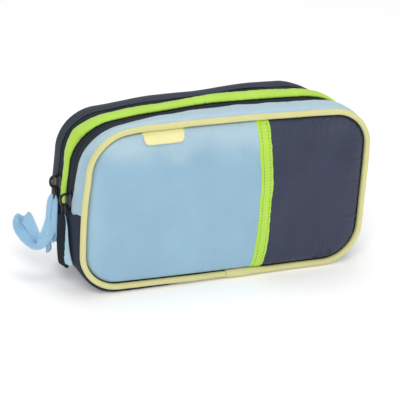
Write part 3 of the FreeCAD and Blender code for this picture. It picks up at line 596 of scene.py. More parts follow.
def shell_object(name, x, z, outer, inner, material, flip=False):
    """Closed soft plate between two depth grids."""
    rows, columns = x.shape
    front = soften(np.stack([x, outer, z], axis=-1))
    back = soften(np.stack([x, inner, z], axis=-1))
    count = rows * columns
    faces, corners = grid_faces(rows, columns, flip=flip)
    rear_faces, rear_corners = grid_faces(rows, columns, first=count, flip=not flip)
    uvs = [[(x[a, b], z[a, b]) for a, b in square] for square in corners + rear_corners]
    border = [(0, j) for j in range(columns)] + [(i, columns - 1) for i in range(1, rows)]
    border += [(rows - 1, j) for j in range(columns - 2, -1, -1)] + [(i, 0) for i in range(rows - 2, 0, -1)]
    sides = []
    for k, (a, b) in enumerate(border):
        c, d = border[(k + 1) % len(border)]
        ring = [a * columns + b, count + a * columns + b, count + c * columns + d, c * columns + d]
        if flip:
            ring.reverse()
        sides.append(ring)
        uvs.append([(x[a, b], z[a, b])] * 4)
    vertices = np.concatenate([front.reshape(-1, 3), back.reshape(-1, 3)])
    return make_object(name, vertices, faces + rear_faces + sides, material, uvs)


def binding_left(height):
    """Left edge of the pocket binding, which bows to the right at half height."""
    t = (height - MIDDLE) / HALF_HEIGHT
    return (22.9 - 1.95 * t - 4.26 * t * t) * MM


def binding_edge(heights):
    """The same edge with the small waver of its sewing."""
    return binding_left(heights) + waves_1d(heights, 21, [9, 17, 29]) * 0.3 * MM


binding_low, binding_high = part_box("pocket_binding_upper")
BINDING_WIDTH = binding_high.x - binding_low.x
STITCH_ROWS = (0.24, 0.78)  # shares of the binding's width


def front_face(x, z, seed=3, pucker=0.45 * MM, rumple=0.7 * MM):
    """Depth of the front panel's outer face."""
    return FRONT - panel_relief(x, z, seed, pucker, rumple)


def seam_tucks(z, away, seed, lengths):
    """Small tucks beside the binding, fading with the distance away from it."""
    return waves_1d(z, seed, lengths) * np.exp(-np.maximum(away, 0) / (5 * MM))


def make_front_panel():
    """The navy panel runs the whole width, under the light pocket on its left."""
    x, z = panel_grid(1.4 * MM, None, 230)
    from_binding = x - binding_left(z) - BINDING_WIDTH
    under = smooth((-0.6 * MM - from_binding) / (1.6 * MM))
    relief = panel_relief(x, z, 11, 1.5 * MM, 0.9 * MM)
    relief += 0.35 * MM * seam_tucks(z, from_binding, 12, [4.1, 6.3, 9.7])
    outer = FRONT - relief + under * 2.1 * MM
    inner = np.maximum(FRONT - 0.4 * MM, outer + 0.5 * MM)
    return shell_object("front_panel", x, z, outer, inner, navy_nylon)


def make_front_pocket():
    x, z = panel_grid(2.7 * MM, lambda h: binding_left(h) + 2 * MM, 170)
    outer = front_face(x, z) - 0.24 * MM * seam_tucks(z, binding_left(z) - x, 14, [4.3, 6.1, 9.1])
    piece = shell_object("front_pocket", x, z, outer, outer + 0.7 * MM, blue_nylon)
    return piece


def make_binding():
    """Folded tape on the pocket's edge: flat face, rolled edges, dimpled along its two rows of stitches."""
    rows = 260
    heights = np.linspace(BOTTOM + 1.8 * MM, TOP - 1.8 * MM, rows)
    shape = [(-0.02, 1.1), (-0.03, 0.2), (0.02, -0.55), (0.12, -0.75), (0.24, -0.5), (0.4, -0.62),
             (0.6, -0.62), (0.76, -0.5), (0.88, -0.75), (0.98, -0.55), (1.03, 0.2), (1.02, 1.1), (0.5, 1.2)]
    section = smooth_loop(shape, 3)
    grid = np.empty((rows, len(section), 3))
    left = binding_edge(heights)
    width = BINDING_WIDTH + waves_1d(heights, 22, [23, 41]) * 0.25 * MM
    for j, (across, rise) in enumerate(section):
        column = left + across * width
        in_row = sum(math.exp(-((across - share) / 0.07) ** 2) for share in STITCH_ROWS)
        dimple = in_row * (0.16 + 0.14 * np.cos(2 * math.pi * heights / (2.6 * MM))) * MM
        outer = max(0.0, min(1.0, 0.6 - rise))
        depth = front_face(column, heights) + rise * MM + outer * dimple
        depth += outer * waves_1d(heights, 23 + j // 4, [5.2, 7.9]) * 0.08 * MM
        grid[:, j] = placed(column, depth, heights)
    return tube("pocket_binding", grid, lime_nylon)


def make_stitches():
    """Two rows of thread down the binding, one low capsule for each stitch."""
    pitch, length, radius = 2.4 * MM, 1.5 * MM, 0.22 * MM
    around = np.arange(6) * math.pi / 3
    vertices, faces = [], []
    for share in STITCH_ROWS:
        for k in range(int((TOP - BOTTOM - 6 * MM) / pitch)):
            heights = BOTTOM + 3.5 * MM + k * pitch + np.array([-0.5, -0.42, 0, 0.42, 0.5]) * length
            sizes = np.array([0.15, 0.8, 1, 0.8, 0.15])[:, None] * radius
            column = binding_edge(heights) + share * BINDING_WIDTH
            face = front_face(column, heights) - 0.42 * MM
            first = len(vertices)
            rings = placed(column[:, None] + sizes * np.cos(around), face[:, None] + sizes * np.sin(around),
                           heights[:, None])
            vertices.extend(rings.reshape(-1, 3))
            faces += grid_faces(5, 6, wrap_columns=True, first=first)[0]
            faces.append([first + corner for corner in range(5, -1, -1)])
            faces.append([first + 24 + corner for corner in range(6)])
    return make_object("binding_stitches", soften(np.array(vertices)), faces, lime_thread)


def make_label():
    """Blank woven tab: rounded lower corners, its free lower edge rolled outwards."""
    low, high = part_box("label_tab")
    rows, columns = 34, 60
    height, half = high.z - low.z - 0.5 * MM, (high.x - low.x) / 2 - 0.6 * MM
    down = np.linspace(0, 1, rows)[:, None] * np.ones((1, columns))
    radius = 3.6 * MM
    from_low = (1 - down) * height
    rounded = radius - np.sqrt(np.maximum(radius ** 2 - (radius - from_low) ** 2, 0))
    cut = np.where(from_low < radius, rounded, 0)
    waist = 1.5 * MM * down
    across = np.linspace(-1, 1, columns)[None, :]
    x = (low.x + high.x) / 2 + 2.3 * MM + across * (half - cut - waist)
    z = high.z + 2.3 * MM - down * height
    roll = 1.3 * smooth(down * 1.3) + 0.8 * np.exp(-((down - 0.84) / 0.16) ** 2)
    plain = FRONT - pillow(x, z, rim_place(x, z)[0])
    outer = plain - (0.5 + roll) * MM + 0.35 * MM * across ** 4
    edge = np.minimum(np.minimum(1, (1 - np.abs(across)) * 14), np.minimum(1, (1 - down) * 10))
    thick = (0.3 + 1.2 * np.sqrt(np.clip(edge, 0, 1))) * MM
    return shell_object("label", x[::-1], z[::-1], (outer + (1.2 * MM - thick) / 2)[::-1],
                        (outer + (1.2 * MM + thick) / 2)[::-1], label_satin)


def piping_loop(name, depth, inward, material, seed):
    """Piping along a panel's seam: a round cord; its cover runs back into the seam and puckers on corners."""
    around = np.linspace(0, 2 * math.pi, 18, endpoint=False)

    def section(run, points, normals):
        turn = np.abs(normals[:, 0] * normals[:, 1]) * 2
        wobble = waves_1d(run, seed, [13, 29, 61])
        ripple = waves_1d(run, seed + 1, [2.6, 3.7]) * turn
        inner_side = 0.5 - 0.5 * np.cos(around)[None, :]
        radius = PIPING * (1.03 + 0.02 * wobble[:, None] + 0.03 * ripple[:, None] * inner_side)
        back = np.maximum(np.sin(around) * inward, 0)[None, :]
        shift = 0.25 * MM * waves_1d(run, seed + 2, [47, 83])[:, None]
        return depth + radius * np.sin(around) + shift + inward * back * 0.8 * MM, radius * np.cos(around)

    grid, run = sweep("whole", section, 0.9 * MM)
    return grid_object(name, soften(grid), material, wrap_rows=True, wrap_columns=True)


def make_sleeve():
    """Overlap where the two ends of the front piping meet, wrapped in the same cover."""
    low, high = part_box("piping_joint_sleeve")
    along = np.linspace(0, 1, 60)[:, None]
    x = low.x + 7.5 * MM + along * (high.x - low.x - 3.5 * MM)
    ends = np.minimum(1, np.minimum(along, 1 - along) * 22)
    full = 0.55 * np.exp(-(along / 0.5) ** 4) + 0.5 * np.exp(-((along - 0.5) / 0.25) ** 2)
    radius = (PIPING + (0.12 + full) * MM) * (0.93 + 0.07 * np.sqrt(ends))
    radius = radius + 0.06 * MM * waves_1d(x, 35, [3.3, 5.1])
    around = np.linspace(0, 2 * math.pi, 20, endpoint=False)
    grid = placed(x, FRONT + radius * np.sin(around), BOTTOM + 0.2 * MM + radius * np.cos(around))
    return tube("piping_sleeve", grid, yellow_cover, flip=True)


# ---- bands and zips round the gusset
def strip(name, half, shape, material, other=None, share=None, grow=None, ruffle=0.0, seed=0, swell=0.0,
          edge_wave=None, end_shift=None, tuck=0.0, per_corner=3, step=1.15 * MM):
    """Strip with a given section in mm (depth, offset), made uneven along its length.

    other is a second section, share how much of it each station takes, grow extra offset of the outer face,
    end_shift moves the two ends along the seam, tuck sinks their outer face.
    """
    section = smooth_loop(shape, per_corner) * MM
    second = section if other is None else smooth_loop(other, per_corner) * MM
    highest = section[:, 1].max()
    outer = smooth((section[:, 1] - 0.2 * highest) / (0.6 * highest))

    def rows(run, points, normals):
        part = np.zeros(len(run)) if share is None else share(run, points, normals)
        depth = section[None, :, 0] * (1 - part[:, None]) + second[None, :, 0] * part[:, None]
        offset = section[None, :, 1] * (1 - part[:, None]) + second[None, :, 1] * part[:, None]
        along = np.repeat(run[:, None], len(section), 1)
        offset = offset + outer * swell * waves_2d(along, depth, seed, 34 * MM)
        if ruffle:
            offset = offset + outer * ruffle * waves_2d(along, depth * 0.4, seed + 2, 6 * MM)
        if grow:
            offset = offset + outer * grow(points, normals)[:, None]
        if edge_wave:
            depth = depth + edge_wave(run, points, depth)
        from_end = np.minimum(run, run[-1] - run)[:, None]
        if tuck:
            offset = offset - outer * tuck * np.exp(-from_end / (1.0 * MM))
        return depth, offset

    grid, run = sweep(half, rows, step)
    if end_shift:
        from_end = np.minimum(run, run[-1] - run)[:, None]
        grid[..., 2] += end_shift(grid[..., 1]) * smooth(1 - from_end / (14 * MM))
    return tube(name, grid, material, flip=(half == "upper"))


def on_side(run, points, normals):
    """1 on the upright sides of the pouch, 0 on its top."""
    return smooth((TOP - 4 * MM - points[:, 1]) / (27 * MM))


def hem_line(depth):
    """The light band's lower ends rise towards the front seam."""
    return 5 * MM * smooth((FRONT_BAND_EDGE - 1 * MM - depth) / (14 * MM))


# depths in mm, for the listed sections
F_SEAM, R_SEAM = mm(FRONT), mm(REAR)
F_EDGE, R_EDGE = mm(FRONT_BAND_EDGE), mm(REAR_BAND_EDGE)
F_ZIP, R_ZIP = mm(FRONT_ZIP), mm(REAR_ZIP)
B_FRONT, B_REAR = mm(BAND_FRONT), mm(BAND_REAR)
B_MIDDLE = (B_FRONT + B_REAR) / 2


def beside(base, *points):
    """Section points whose depths are measured from a base depth."""
    return [(base + depth, offset) for depth, offset in points]


def make_front_band():
    def wave(run, points, depth):
        inner = smooth((depth - FRONT - 5 * MM) / (14 * MM))
        shoulder = np.hypot(points[:, 0] + 88 * MM, points[:, 1] - TOP + 4 * MM)
        drawn = 7.5 * MM * np.exp(-(shoulder / (34 * MM)) ** 2)
        return inner * (0.6 * MM * waves_1d(run, 52, [21, 34, 57]) - drawn)[:, None]

    section = beside(F_SEAM, (1.6, -1.4), (2.3, 0.0), (3.5, 1.9), (6.2, 3.0), (11, 3.2))
    section += beside(F_EDGE, (-4.5, 2.8), (-0.9, 2.3), (0.2, 2.0), (0.4, 1.4), (-0.6, 1.0), (-5, 0.6))
    section += beside(F_SEAM, (8, 0.2), (3, -0.6), (1.4, -1.8))
    return strip("front_band", "upper", section, blue_nylon, ruffle=0.10 * MM, seed=51, swell=0.35 * MM,
                 edge_wave=wave, end_shift=hem_line, tuck=0.9 * MM)


def make_rear_band():
    section = beside(R_SEAM, (-0.8, -1.2), (-1.6, 0.2), (-2.8, 1.9), (-4.6, 2.6))
    section += beside(R_EDGE, (2.0, 2.1), (0.5, 1.8), (-0.2, 1.5), (-0.3, 1.15), (1.6, 0.95))
    section += beside(R_SEAM, (-4, 0.0), (-1.4, -1.8))
    return strip("rear_band", "upper", section, navy_twill, ruffle=0.10 * MM, seed=61, swell=0.3 * MM)


def make_centre_band():
    """Raised lime fold; it is wide and proud on the top and narrows down the sides."""
    top = [(B_FRONT - 0.9, 1.5), (B_FRONT - 1.4, 2.3), (B_FRONT - 0.8, 3.6), (B_FRONT + 1.6, 4.9),
           (B_FRONT + 5.0, 5.5), (B_FRONT + 8.6, 5.2), (B_REAR - 1.8, 3.9), (B_REAR - 0.3, 2.4),
           (B_REAR + 0.1, 1.3), (B_REAR - 1.6, 1.0), (B_FRONT + 6, 1.0), (B_FRONT + 0.6, 1.1)]
    side = [(B_MIDDLE + (depth - B_MIDDLE) * 0.56 + 1.2, 1 + (offset - 1) * 0.72) for depth, offset in top]

    def ruffled(run, points, depth):
        front = smooth((BAND_FRONT + 2.2 * MM - depth) / (3 * MM))
        size = 0.55 * (0.6 + 0.4 * waves_1d(run, 73, [23, 41]))
        return size[:, None] * MM * front * waves_1d(run, 74, [2.9, 3.9, 6.3])[:, None]

    def crease(points, normals):
        angle = np.degrees(np.arctan2(normals[:, 1], np.abs(normals[:, 0])))
        return 1.9 * MM * np.exp(-np.abs(angle - 42) / 15) - 0.4 * MM

    return strip("centre_band_cover", "upper", top, lime_nylon, other=side, share=on_side, grow=crease,
                 ruffle=0.14 * MM, seed=71, swell=0.3 * MM, edge_wave=ruffled, step=0.9 * MM)


def zip_tape(name, outer_edge, zip_line, seed):
    """One woven tape; its edge at the zip line rolls down over the coil behind it."""
    side = 1 if outer_edge > zip_line else -1
    near = [zip_line + side * d for d in (0.36, 0.38, 0.65, 1.3, 2.3, 3.4)]
    shape = [(near[0], 0.1), (near[1], 0.5), (near[2], 0.85), (near[3], 1.0), (near[4], 0.95), (near[5], 0.9),
             (outer_edge, 0.8), (outer_edge, 0.35), (near[4], 0.5), (near[3], 0.5), (near[2], 0.2)]
    if side < 0:
        shape.reverse()
    return strip(name, "upper", shape, zip_weave, ruffle=0.03 * MM, seed=seed, swell=0.08 * MM)


def zip_coil(name, node, side):
    """Half of a nylon coil zip: one close spiral along the tape's edge."""
    low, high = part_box(node)
    middle = (low.y + high.y) / 2 + side * 0.55 * MM
    around = np.linspace(0, 2 * math.pi, 10, endpoint=False)
    pitch = 1.25 * MM

    def rows(run, points, normals):
        phase = 2 * math.pi * run[:, None] / pitch - side * around[None, :]
        radius = 0.66 * MM * (1 + 0.2 * np.cos(phase))
        return middle + radius * np.sin(around), -0.3 * MM + radius * np.cos(around)

    grid, run = sweep("upper", rows, 0.32 * MM)
    return tube(name, grid, coil_nylon)


def make_gusset():
    """Lower gusset; its front edge swells below the left of the front seam, and it stands flat."""
    left = beside(F_SEAM, (0.7, -1.2), (0.8, 0.6), (1.1, 1.7), (2.6, 2.5), (7, 2.75))
    left += [(-8, 2.75), (4, 2.75), (14, 2.75)]
    left += beside(R_SEAM, (-6, 2.6), (-2.6, 1.9), (-1.2, 0.2), (-0.7, -1.2), (-1.6, -1.8))
    left += [(14, 0.2), (0, 0.2), (-14, 0.2), (F_SEAM + 1.6, -1.8)]
    right = beside(F_SEAM, (0.8, -1.2), (1.6, 0.2), (4.2, 1.8), (8, 2.5)) + left[4:]

    def part(run, points, normals):
        return smooth((points[:, 0] + 45 * MM) / (50 * MM))

    def stand(points, normals):
        return lifted(points[:, 0]) * np.maximum(-normals[:, 1], 0) ** 2

    return strip("gusset", "lower", left, navy_canvas, other=right, share=part, grow=stand, ruffle=0.10 * MM,
                 seed=91, swell=0.25 * MM, end_shift=hem_line, tuck=1.1 * MM)


def make_rear_panel():
    x, z = panel_grid(1.4 * MM, None, 190, 1.3 * MM)
    outer = REAR + panel_relief(x, z, 101, 0.45 * MM, 0.6 * MM)
    inner = np.full_like(outer, REAR + 0.4 * MM)
    return shell_object("rear_panel", x, z, outer, inner, navy_nylon, flip=True)


LINING_INSET = 5.0 * MM  # the lining ends this far inside the piping line


def make_lining(name, node, seed, outward):
    """Padded lining inside a panel, quilted lightly by its own slack; outward is -1 at the front."""
    low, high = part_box(node + "_upper")
    x, z = panel_grid(LINING_INSET, None, 110, 1.8 * MM)
    inset, run = rim_place(x, z)
    soft = 0.9 * MM * (1 - np.exp(-(inset - LINING_INSET) / (4 * MM)))
    soft += 0.3 * MM * waves_2d(x, z, seed, 33 * MM) + gathers(inset, run, seed + 3, 0.3 * MM)
    outer_face = low.y + 0.35 * MM if outward < 0 else high.y - 0.35 * MM
    inner_face = (high.y - 0.9 * MM) + soft if outward < 0 else (low.y + 0.9 * MM) - soft
    outer = outer_face - outward * 0.9 * MM * np.exp(-(inset - LINING_INSET) / (3 * MM))
    return shell_object(name, x, z, outer, inner_face, grey_lining, flip=outward > 0)


# ---- inside
def make_divider():
    low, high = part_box("divider_wall")
    x, z = panel_grid(HALF_WIDTH - high.x, None, 90, 2 * MM)
    inset, _ = rim_place(x, z)
    swell = 0.25 * MM * waves_2d(x, z, 111, 60 * MM)
    edge = 0.5 * MM * np.exp(-(inset - (HALF_WIDTH - high.x)) / (1.5 * MM))
    return shell_object("divider", x, z, low.y + 0.3 * MM + swell + edge, high.y - 0.3 * MM + swell - edge,
                        grey_lining)


def make_elastic():
    """Elastic tape sewn down at intervals, so that it stands off in a row of loops."""
    low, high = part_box("elastic_holder")
    columns, rows, loops = 280, 24, 9
    share = np.linspace(0, 1, columns)
    x = low.x + share * (high.x - low.x)
    arch = np.abs(np.sin(math.pi * share * loops)) ** 0.7
    heights = np.linspace(low.z, high.z, rows)
    cross, up = np.meshgrid(x, heights)
    gather = 0.12 * MM * np.cos(2 * math.pi * up / (2.2 * MM)) * arch[None, :]
    outer = high.y - (0.75 + 2.6 * arch[None, :]) * MM - gather
    return shell_object("elastic_loops", cross, up, outer, outer + 0.7 * MM, elastic_knit)


def make_mesh_pocket():
    """Fine net sewn to the divider on three sides, a little fuller at its open top edge."""
    low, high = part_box("mesh_pocket")
    columns, rows = 120, 44
    share = np.linspace(0, 1, columns)[None, :] * np.ones((rows, 1))
    rise = np.linspace(0, 1, rows)[:, None] * np.ones((1, columns))
    x = low.x + share * (high.x - low.x)
    z = low.z + rise * (high.z - low.z)
    full = (1 - (2 * share - 1) ** 4) * smooth(rise)
    face = low.y + (0.3 + 1.6 * full) * MM + 0.25 * MM * full * waves_2d(x, z, 121, 26 * MM)
    piece = shell_object("mesh_net", x, z, face + 0.35 * MM, face, net_mesh, flip=True)
    return piece


def make_mesh_binding():
    low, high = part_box("mesh_pocket_binding")
    across = np.linspace(0, 1, 120)[:, None]
    shape = [(0.0, 0.0), (0.0, 1.0), (0.3, 1.15), (0.7, 1.15), (1.0, 1.0), (1.0, 0.0), (0.5, -0.1)]
    up, out = smooth_loop(shape, 3).T
    x = low.x + across * (high.x - low.x)
    full = (1 - (2 * across - 1) ** 4) * 1.6 * MM
    height = low.z + up * (high.z - low.z) + 0.15 * MM * waves_1d(x, 131, [14, 23])
    grid = placed(x, low.y + full + out * 1.1 * MM, height)
    return tube("mesh_binding", grid, lime_nylon)


# ---- zip hardware
def curve_through(places, count):
    """Smooth B-spline through the neighbourhood of given places, evenly sampled, ends included."""
    places = np.array(places, float)
    padded = np.concatenate([[2 * places[0] - places[1]], places, [2 * places[-1] - places[-2]]])
    out = []
    spans = len(places) - 1
    for k in range(count):
        at = spans * k / (count - 1)
        i = min(int(at), spans - 1)
        out.append(spline_point(*padded[i:i + 4], at - i))
    return np.array(out)


def unit_rows(vectors):
    return vectors / np.linalg.norm(vectors, axis=1)[:, None]


def wire(name, places, radius, closed=False, count=60):
    """Round enamelled wire along given places in mm."""
    if closed:
        path = smooth_loop(places, max(2, count // len(places))) * MM
        tangent = unit_rows(np.roll(path, -1, 0) - np.roll(path, 1, 0))
    else:
        path = curve_through(places, count) * MM
        tangent = unit_rows(np.gradient(path, axis=0))
    guide = np.array([0.0, 1.0, 0.0]) if abs(tangent[:, 1]).max() < 0.8 else np.array([1.0, 0.0, 0.0])
    side = unit_rows(np.cross(tangent, guide))
    up = np.cross(side, tangent)
    around = np.linspace(0, 2 * math.pi, 14, endpoint=False)
    rings = [path + radius * MM * (math.cos(angle) * side + math.sin(angle) * up) for angle in around]
    return grid_object(name, np.stack(rings, axis=1), black_enamel, wrap_rows=closed, wrap_columns=True,
                       caps=not closed, flip=True)


def webbing(name, places, widths, width, thickness, material, narrow, ribs=5, cup=0.0, slant=0.0, rib=0.3,
            count=90):
    """Flat woven strap in mm: its middle runs along places, widths point across it, ribs run along it."""
    path = curve_through(places, count)
    tangent = unit_rows(np.gradient(path, axis=0))
    across = curve_through(widths, count)
    across = unit_rows(across - tangent * np.sum(across * tangent, axis=1)[:, None])
    out = np.cross(tangent, across)
    share = np.linspace(-1, 1, 8 * ribs + 1)
    size = (width / 2 * narrow(np.linspace(0, 1, count)))[:, None]
    relief = rib * np.abs(np.cos(share * ribs * math.pi / 2)) ** 0.7 if ribs > 1 else 0 * share
    edge = np.sqrt(np.clip(1 - np.abs(share) ** 14, 0, 1))
    half = thickness / 2 * np.maximum(edge, 0.25) + relief
    bow = cup * (1 - share ** 2)
    front, back = ([path + across * (size * s) + out * (b + side * h) for s, b, h in zip(share, bow, half)]
                   for side in (1, -1))
    grid = np.stack(front + back[::-1], axis=1)
    if slant:
        shares = np.concatenate([share, share[::-1]])
        last = smooth((np.linspace(0, 1, count) - 0.6) / 0.4)
        corner = 1.2 * np.clip((np.abs(shares) - 0.6) / 0.4, 0, 1) ** 2
        shift = slant * shares[None, :] / 2 - corner[None, :]
        grid += tangent[:, None, :] * (last[:, None] * shift)[:, :, None]
    return grid_object(name, grid * MM, material, wrap_columns=True, caps=True, flip=True)


def slider(name, node):
    """Zip slider: two rounded plates, wide at the mouth, a post between them, and a raised bridge outside."""
    low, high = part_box(node)
    y, z = (low.y + high.y) / 2, (low.z + high.z) / 2
    half_width, half_length = (high.y - low.y) / 2, (high.z - low.z) / 2 - 1.05 * MM
    profile = smooth_loop([(0.8, -1.0), (1.0, -0.7), (1.02, 0.2), (0.7, 0.95), (0.0, 1.02), (-0.7, 0.95),
                           (-1.02, 0.2), (-1.0, -0.7), (-0.8, -1.0), (0.0, -0.96)], 4)
    vertices, faces = [], []

    def plate(inner, outer, dome):
        first = len(vertices)
        count = len(profile)
        layers = [(1.0, inner), (1.04, (inner + outer) / 2), (1.0, outer), (0.86, outer - 0.45 * dome),
                  (0.6, outer - 0.8 * dome), (0.25, outer - dome)]
        vertices.extend((place, y + across * half_width * scale, z + up * half_length * scale)
                        for scale, place in layers for across, up in profile)
        for layer in range(len(layers) - 1):
            for k in range(count):
                after = (k + 1) % count
                a, b = first + layer * count, first + (layer + 1) * count
                faces.append([a + k, b + k, b + after, a + after])
        faces.append([first + k for k in range(count)])
        faces.append([first + (len(layers) - 1) * count + k for k in range(count - 1, -1, -1)])

    def block(x0, x1, half_y, z0, z1):
        first = len(vertices)
        vertices.extend((a, b, c) for a in (x0, x1) for b in (y - half_y, y + half_y) for c in (z0, z1))
        for quad in ((0, 1, 3, 2), (4, 6, 7, 5), (0, 4, 5, 1), (2, 3, 7, 6), (0, 2, 6, 4), (1, 5, 7, 3)):
            faces.append([first + k for k in quad])

    x_out = SLIDER_FACE
    plate(x_out + 1.2 * MM, x_out, 0.9 * MM)
    plate(high.x + 0.6 * MM, high.x + 1.6 * MM, -0.1 * MM)
    block(x_out + 1.0 * MM, high.x + 0.8 * MM, 0.26 * MM, low.z + 0.6 * MM, low.z + 4.6 * MM)
    block(x_out - 2.4 * MM, x_out, 1.3 * MM, z - 3.0 * MM, z + 3.0 * MM)
    piece = make_object(name, vertices, faces, slider_enamel)
    bevel = piece.modifiers.new("edges", "BEVEL")
    bevel.width = 0.25 * MM
    bevel.segments = 2
    return piece


def crown(name, node):
    """D-shaped wire on a slider, its feet in the slider's bridge."""
    low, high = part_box(node)
    radius = 1.0
    out, foot = mm(low.x) + radius, mm(high.x) + 0.6
    y, z, half = mm((low.y + high.y) / 2), mm((low.z + high.z) / 2), mm((high.z - low.z) / 2) - radius
    reach = foot - out
    return wire(name, [(foot, y, z + half * 0.86), (foot - reach * 0.45, y, z + half * 1.02),
                       (foot - reach * 0.86, y, z + half * 0.86), (out - 0.25, y, z + half * 0.35),
                       (out - 0.2, y, z - half * 0.3), (foot - reach * 0.86, y, z - half * 0.84),
                       (foot - reach * 0.42, y, z - half * 1.02), (foot, y, z - half * 0.86)],
                radius)


def link(name, node, twist):
    """Wire eye between crown and webbing, turned a little about its length."""
    low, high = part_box(node)
    radius = 0.62
    x, y = mm((low.x + high.x) / 2), mm((low.y + high.y) / 2)
    half = mm((high.y - low.y) / 2) - radius
    top, bottom = mm(high.z) - radius, mm(low.z) + radius
    places = []
    for across, share in ((-0.75, 1.0), (0.75, 1.0), (1.1, 0.8), (1.05, 0.3), (0.9, 0.05), (0.5, -0.02),
                          (-0.5, -0.02), (-0.9, 0.05), (-1.05, 0.3), (-1.1, 0.8)):
        turn = twist * (1 - share)
        places.append((x - across * half * math.sin(turn), y + across * half * math.cos(turn),
                       bottom + share * (top - bottom)))
    return wire(name, places, radius, closed=True, count=80)


SLIDER_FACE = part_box("front_slider_crown")[1].x
link_low, link_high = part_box("front_pull_link")
PULL_X = mm((link_low.x + link_high.x) / 2)
F_WIRE = mm(link_low.z)  # lower end of each link
R_WIRE = mm(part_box("rear_pull_link")[0].z)


def widening(start, reach):
    """Share of its full width along a strap, which starts gathered in its link."""
    return lambda s: start + (1 - start) * smooth(s / reach)


def facing(slopes):
    """Directions across a strap that hangs on the left side, turned forwards by slopes."""
    return [(slope, 1, 0) for slope in slopes]


def make_front_tab():
    places = np.array([(-0.4, 0.4, 2.4), (-1.2, 0.2, 1.0), (-1.9, -0.3, -6), (-2.0, -1.4, -17),
                       (-1.5, -2.4, -27), (-0.5, -3.2, -36.5)]) + (PULL_X, F_ZIP, F_WIRE)
    widths = facing((-0.1, -0.14, -0.22, -0.36, -0.42, -0.44))
    return webbing("front_tab", places, widths, 10.5, 1.5, navy_webbing, widening(0.38, 0.34), ribs=1,
                   slant=-3.0)


def make_front_leaf():
    places = np.array([(0.1, -0.4, 2), (-0.3, -1.9, -4), (-0.4, -5.0, -16), (-0.2, -7.8, -25),
                       (1.0, -10.6, -33.0)]) + (PULL_X, F_ZIP, F_WIRE)
    widths = facing((-0.1, -0.1, -0.1, -0.15, -0.25))
    return webbing("front_leaf", places, widths, 9.5, 0.9, pale_webbing, widening(0.35, 0.35), slant=-2.0,
                   rib=0.15)


def rear_tab_layer(name, shift, back, length, width, slant):
    """One fold of the rear tab: shift moves it across the tab, back sinks it, all in mm."""
    places = np.array([(-0.6, 0.3, 2.4), (-1.4, 0, -2), (-2.1, -0.4, -13), (-2.2, -1.0, -25),
                       (-1.6, -1.8, -25 - length)]) + (PULL_X, R_ZIP, R_WIRE)
    widths = facing((-0.25, -0.3, -0.36, -0.38, -0.38))
    spread_out = (0.25, 1, 1, 1, 1)
    moved = []
    for place, across, part in zip(places, widths, spread_out):
        unit = np.array(across) / math.hypot(across[0], across[1])
        inward = np.array([unit[1], -unit[0], 0])
        moved.append(place + unit * shift * part + inward * back * part)
    return webbing(name, moved, widths, width, 1.2, blue_webbing, widening(0.62, 0.22), ribs=3, cup=0.7,
                   slant=slant)


def make_ribbon():
    """Ribbed ribbon looped out sideways from the rear pull, both ends sewn behind the tab.

    Its places are (across, up, towards) in mm from the link's lower end, seen from the pouch's front left.
    """
    start = np.array([PULL_X - 1.0, R_ZIP + 2.0, R_WIRE - 8.6])
    across, up, towards = (np.array(v) for v in (lean.to_3x3() @ cam_right, lean.to_3x3() @ cam_up,
                                                 lean.to_3x3() @ -forward))

    def seen(values):
        return [across * a + up * b + towards * c for a, b, c in values]

    strand = [
        ((0.9, 4.4, -0.6), (-0.95, 0.2, 0.1)), ((0.6, 0.8, -0.8), (-0.95, 0.2, 0.1)),
        ((0.3, -5.5, -0.9), (-0.95, 0.2, 0.1)), ((-0.6, -12.8, -1.0), (-0.95, 0.31, 0)),
        ((-3.8, -21.2, 0.3), (-0.82, 0.55, -0.1)), ((-7.7, -25.2, 0.8), (-0.6, 0.6, -0.5)),
        ((-11.1, -27.2, 0.2), (-0.31, 0.35, -0.88)), ((-14.5, -26.4, -1.5), (0.24, 0.33, -0.91)),
        ((-18.3, -22.1, -3.5), (0.5, 0.42, -0.76)), ((-20.9, -18.0, -5.2), (0.68, 0.45, -0.58)),
        ((-22.6, -14.9, -6.4), (0.8, 0.43, -0.43)), ((-23.7, -11.7, -7.0), (0.86, 0.35, -0.37)),
        ((-23.4, -8.6, -6.8), (0.93, 0.15, -0.33)), ((-21.9, -6.0, -5.6), (0.99, -0.02, -0.1)),
        ((-19.0, -6.0, -4.4), (0.99, -0.08, 0.1)), ((-16.8, -9.3, -3.9), (0.9, 0.02, 0.4)),
        ((-14.5, -13.5, -3.7), (0.8, 0.15, 0.55)), ((-12.5, -18.5, -3.6), (0.78, 0.22, 0.58)),
        ((-10.5, -22.8, -3.6), (0.72, 0.3, 0.62)), ((-7.7, -24.3, -3.6), (0.4, 0.5, 0.77)),
        ((-4.1, -21.6, -3.4), (-0.1, 0.6, 0.79)), ((-1.6, -16.2, -3.1), (-0.6, 0.5, 0.6)),
        ((-0.4, -9.1, -2.6), (-0.85, 0.3, 0.4)), ((0.4, -1.9, -2.2), (-0.9, 0.2, 0.35)),
        ((0.8, 1.7, -2.0), (-0.9, 0.2, 0.35))]
    places, widths = zip(*strand)
    centre = [start + place for place in seen(places)]
    return webbing("ribbon_loop", centre, seen(widths), 10.0, 0.9, blue_webbing,
                   lambda s: 0.45 + 0.55 * smooth(np.minimum(s, 1 - s) / 0.14), count=260)


# ---- making and riding
def show(piece, body, slot, *nodes):
    """Put a piece on its body, hiding the nodes it replaces; front and rear stand for a whole face, and such
    a piece only has its transform baked in.
    """
    if nodes:
        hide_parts(*nodes)
    if body in ("front", "rear"):
        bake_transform(piece)
    else:
        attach(piece, body)
    return piece


def halves(node):
    """The nodes above and below a fold that one piece stands for."""
    return node + "_upper", node + "_lower"


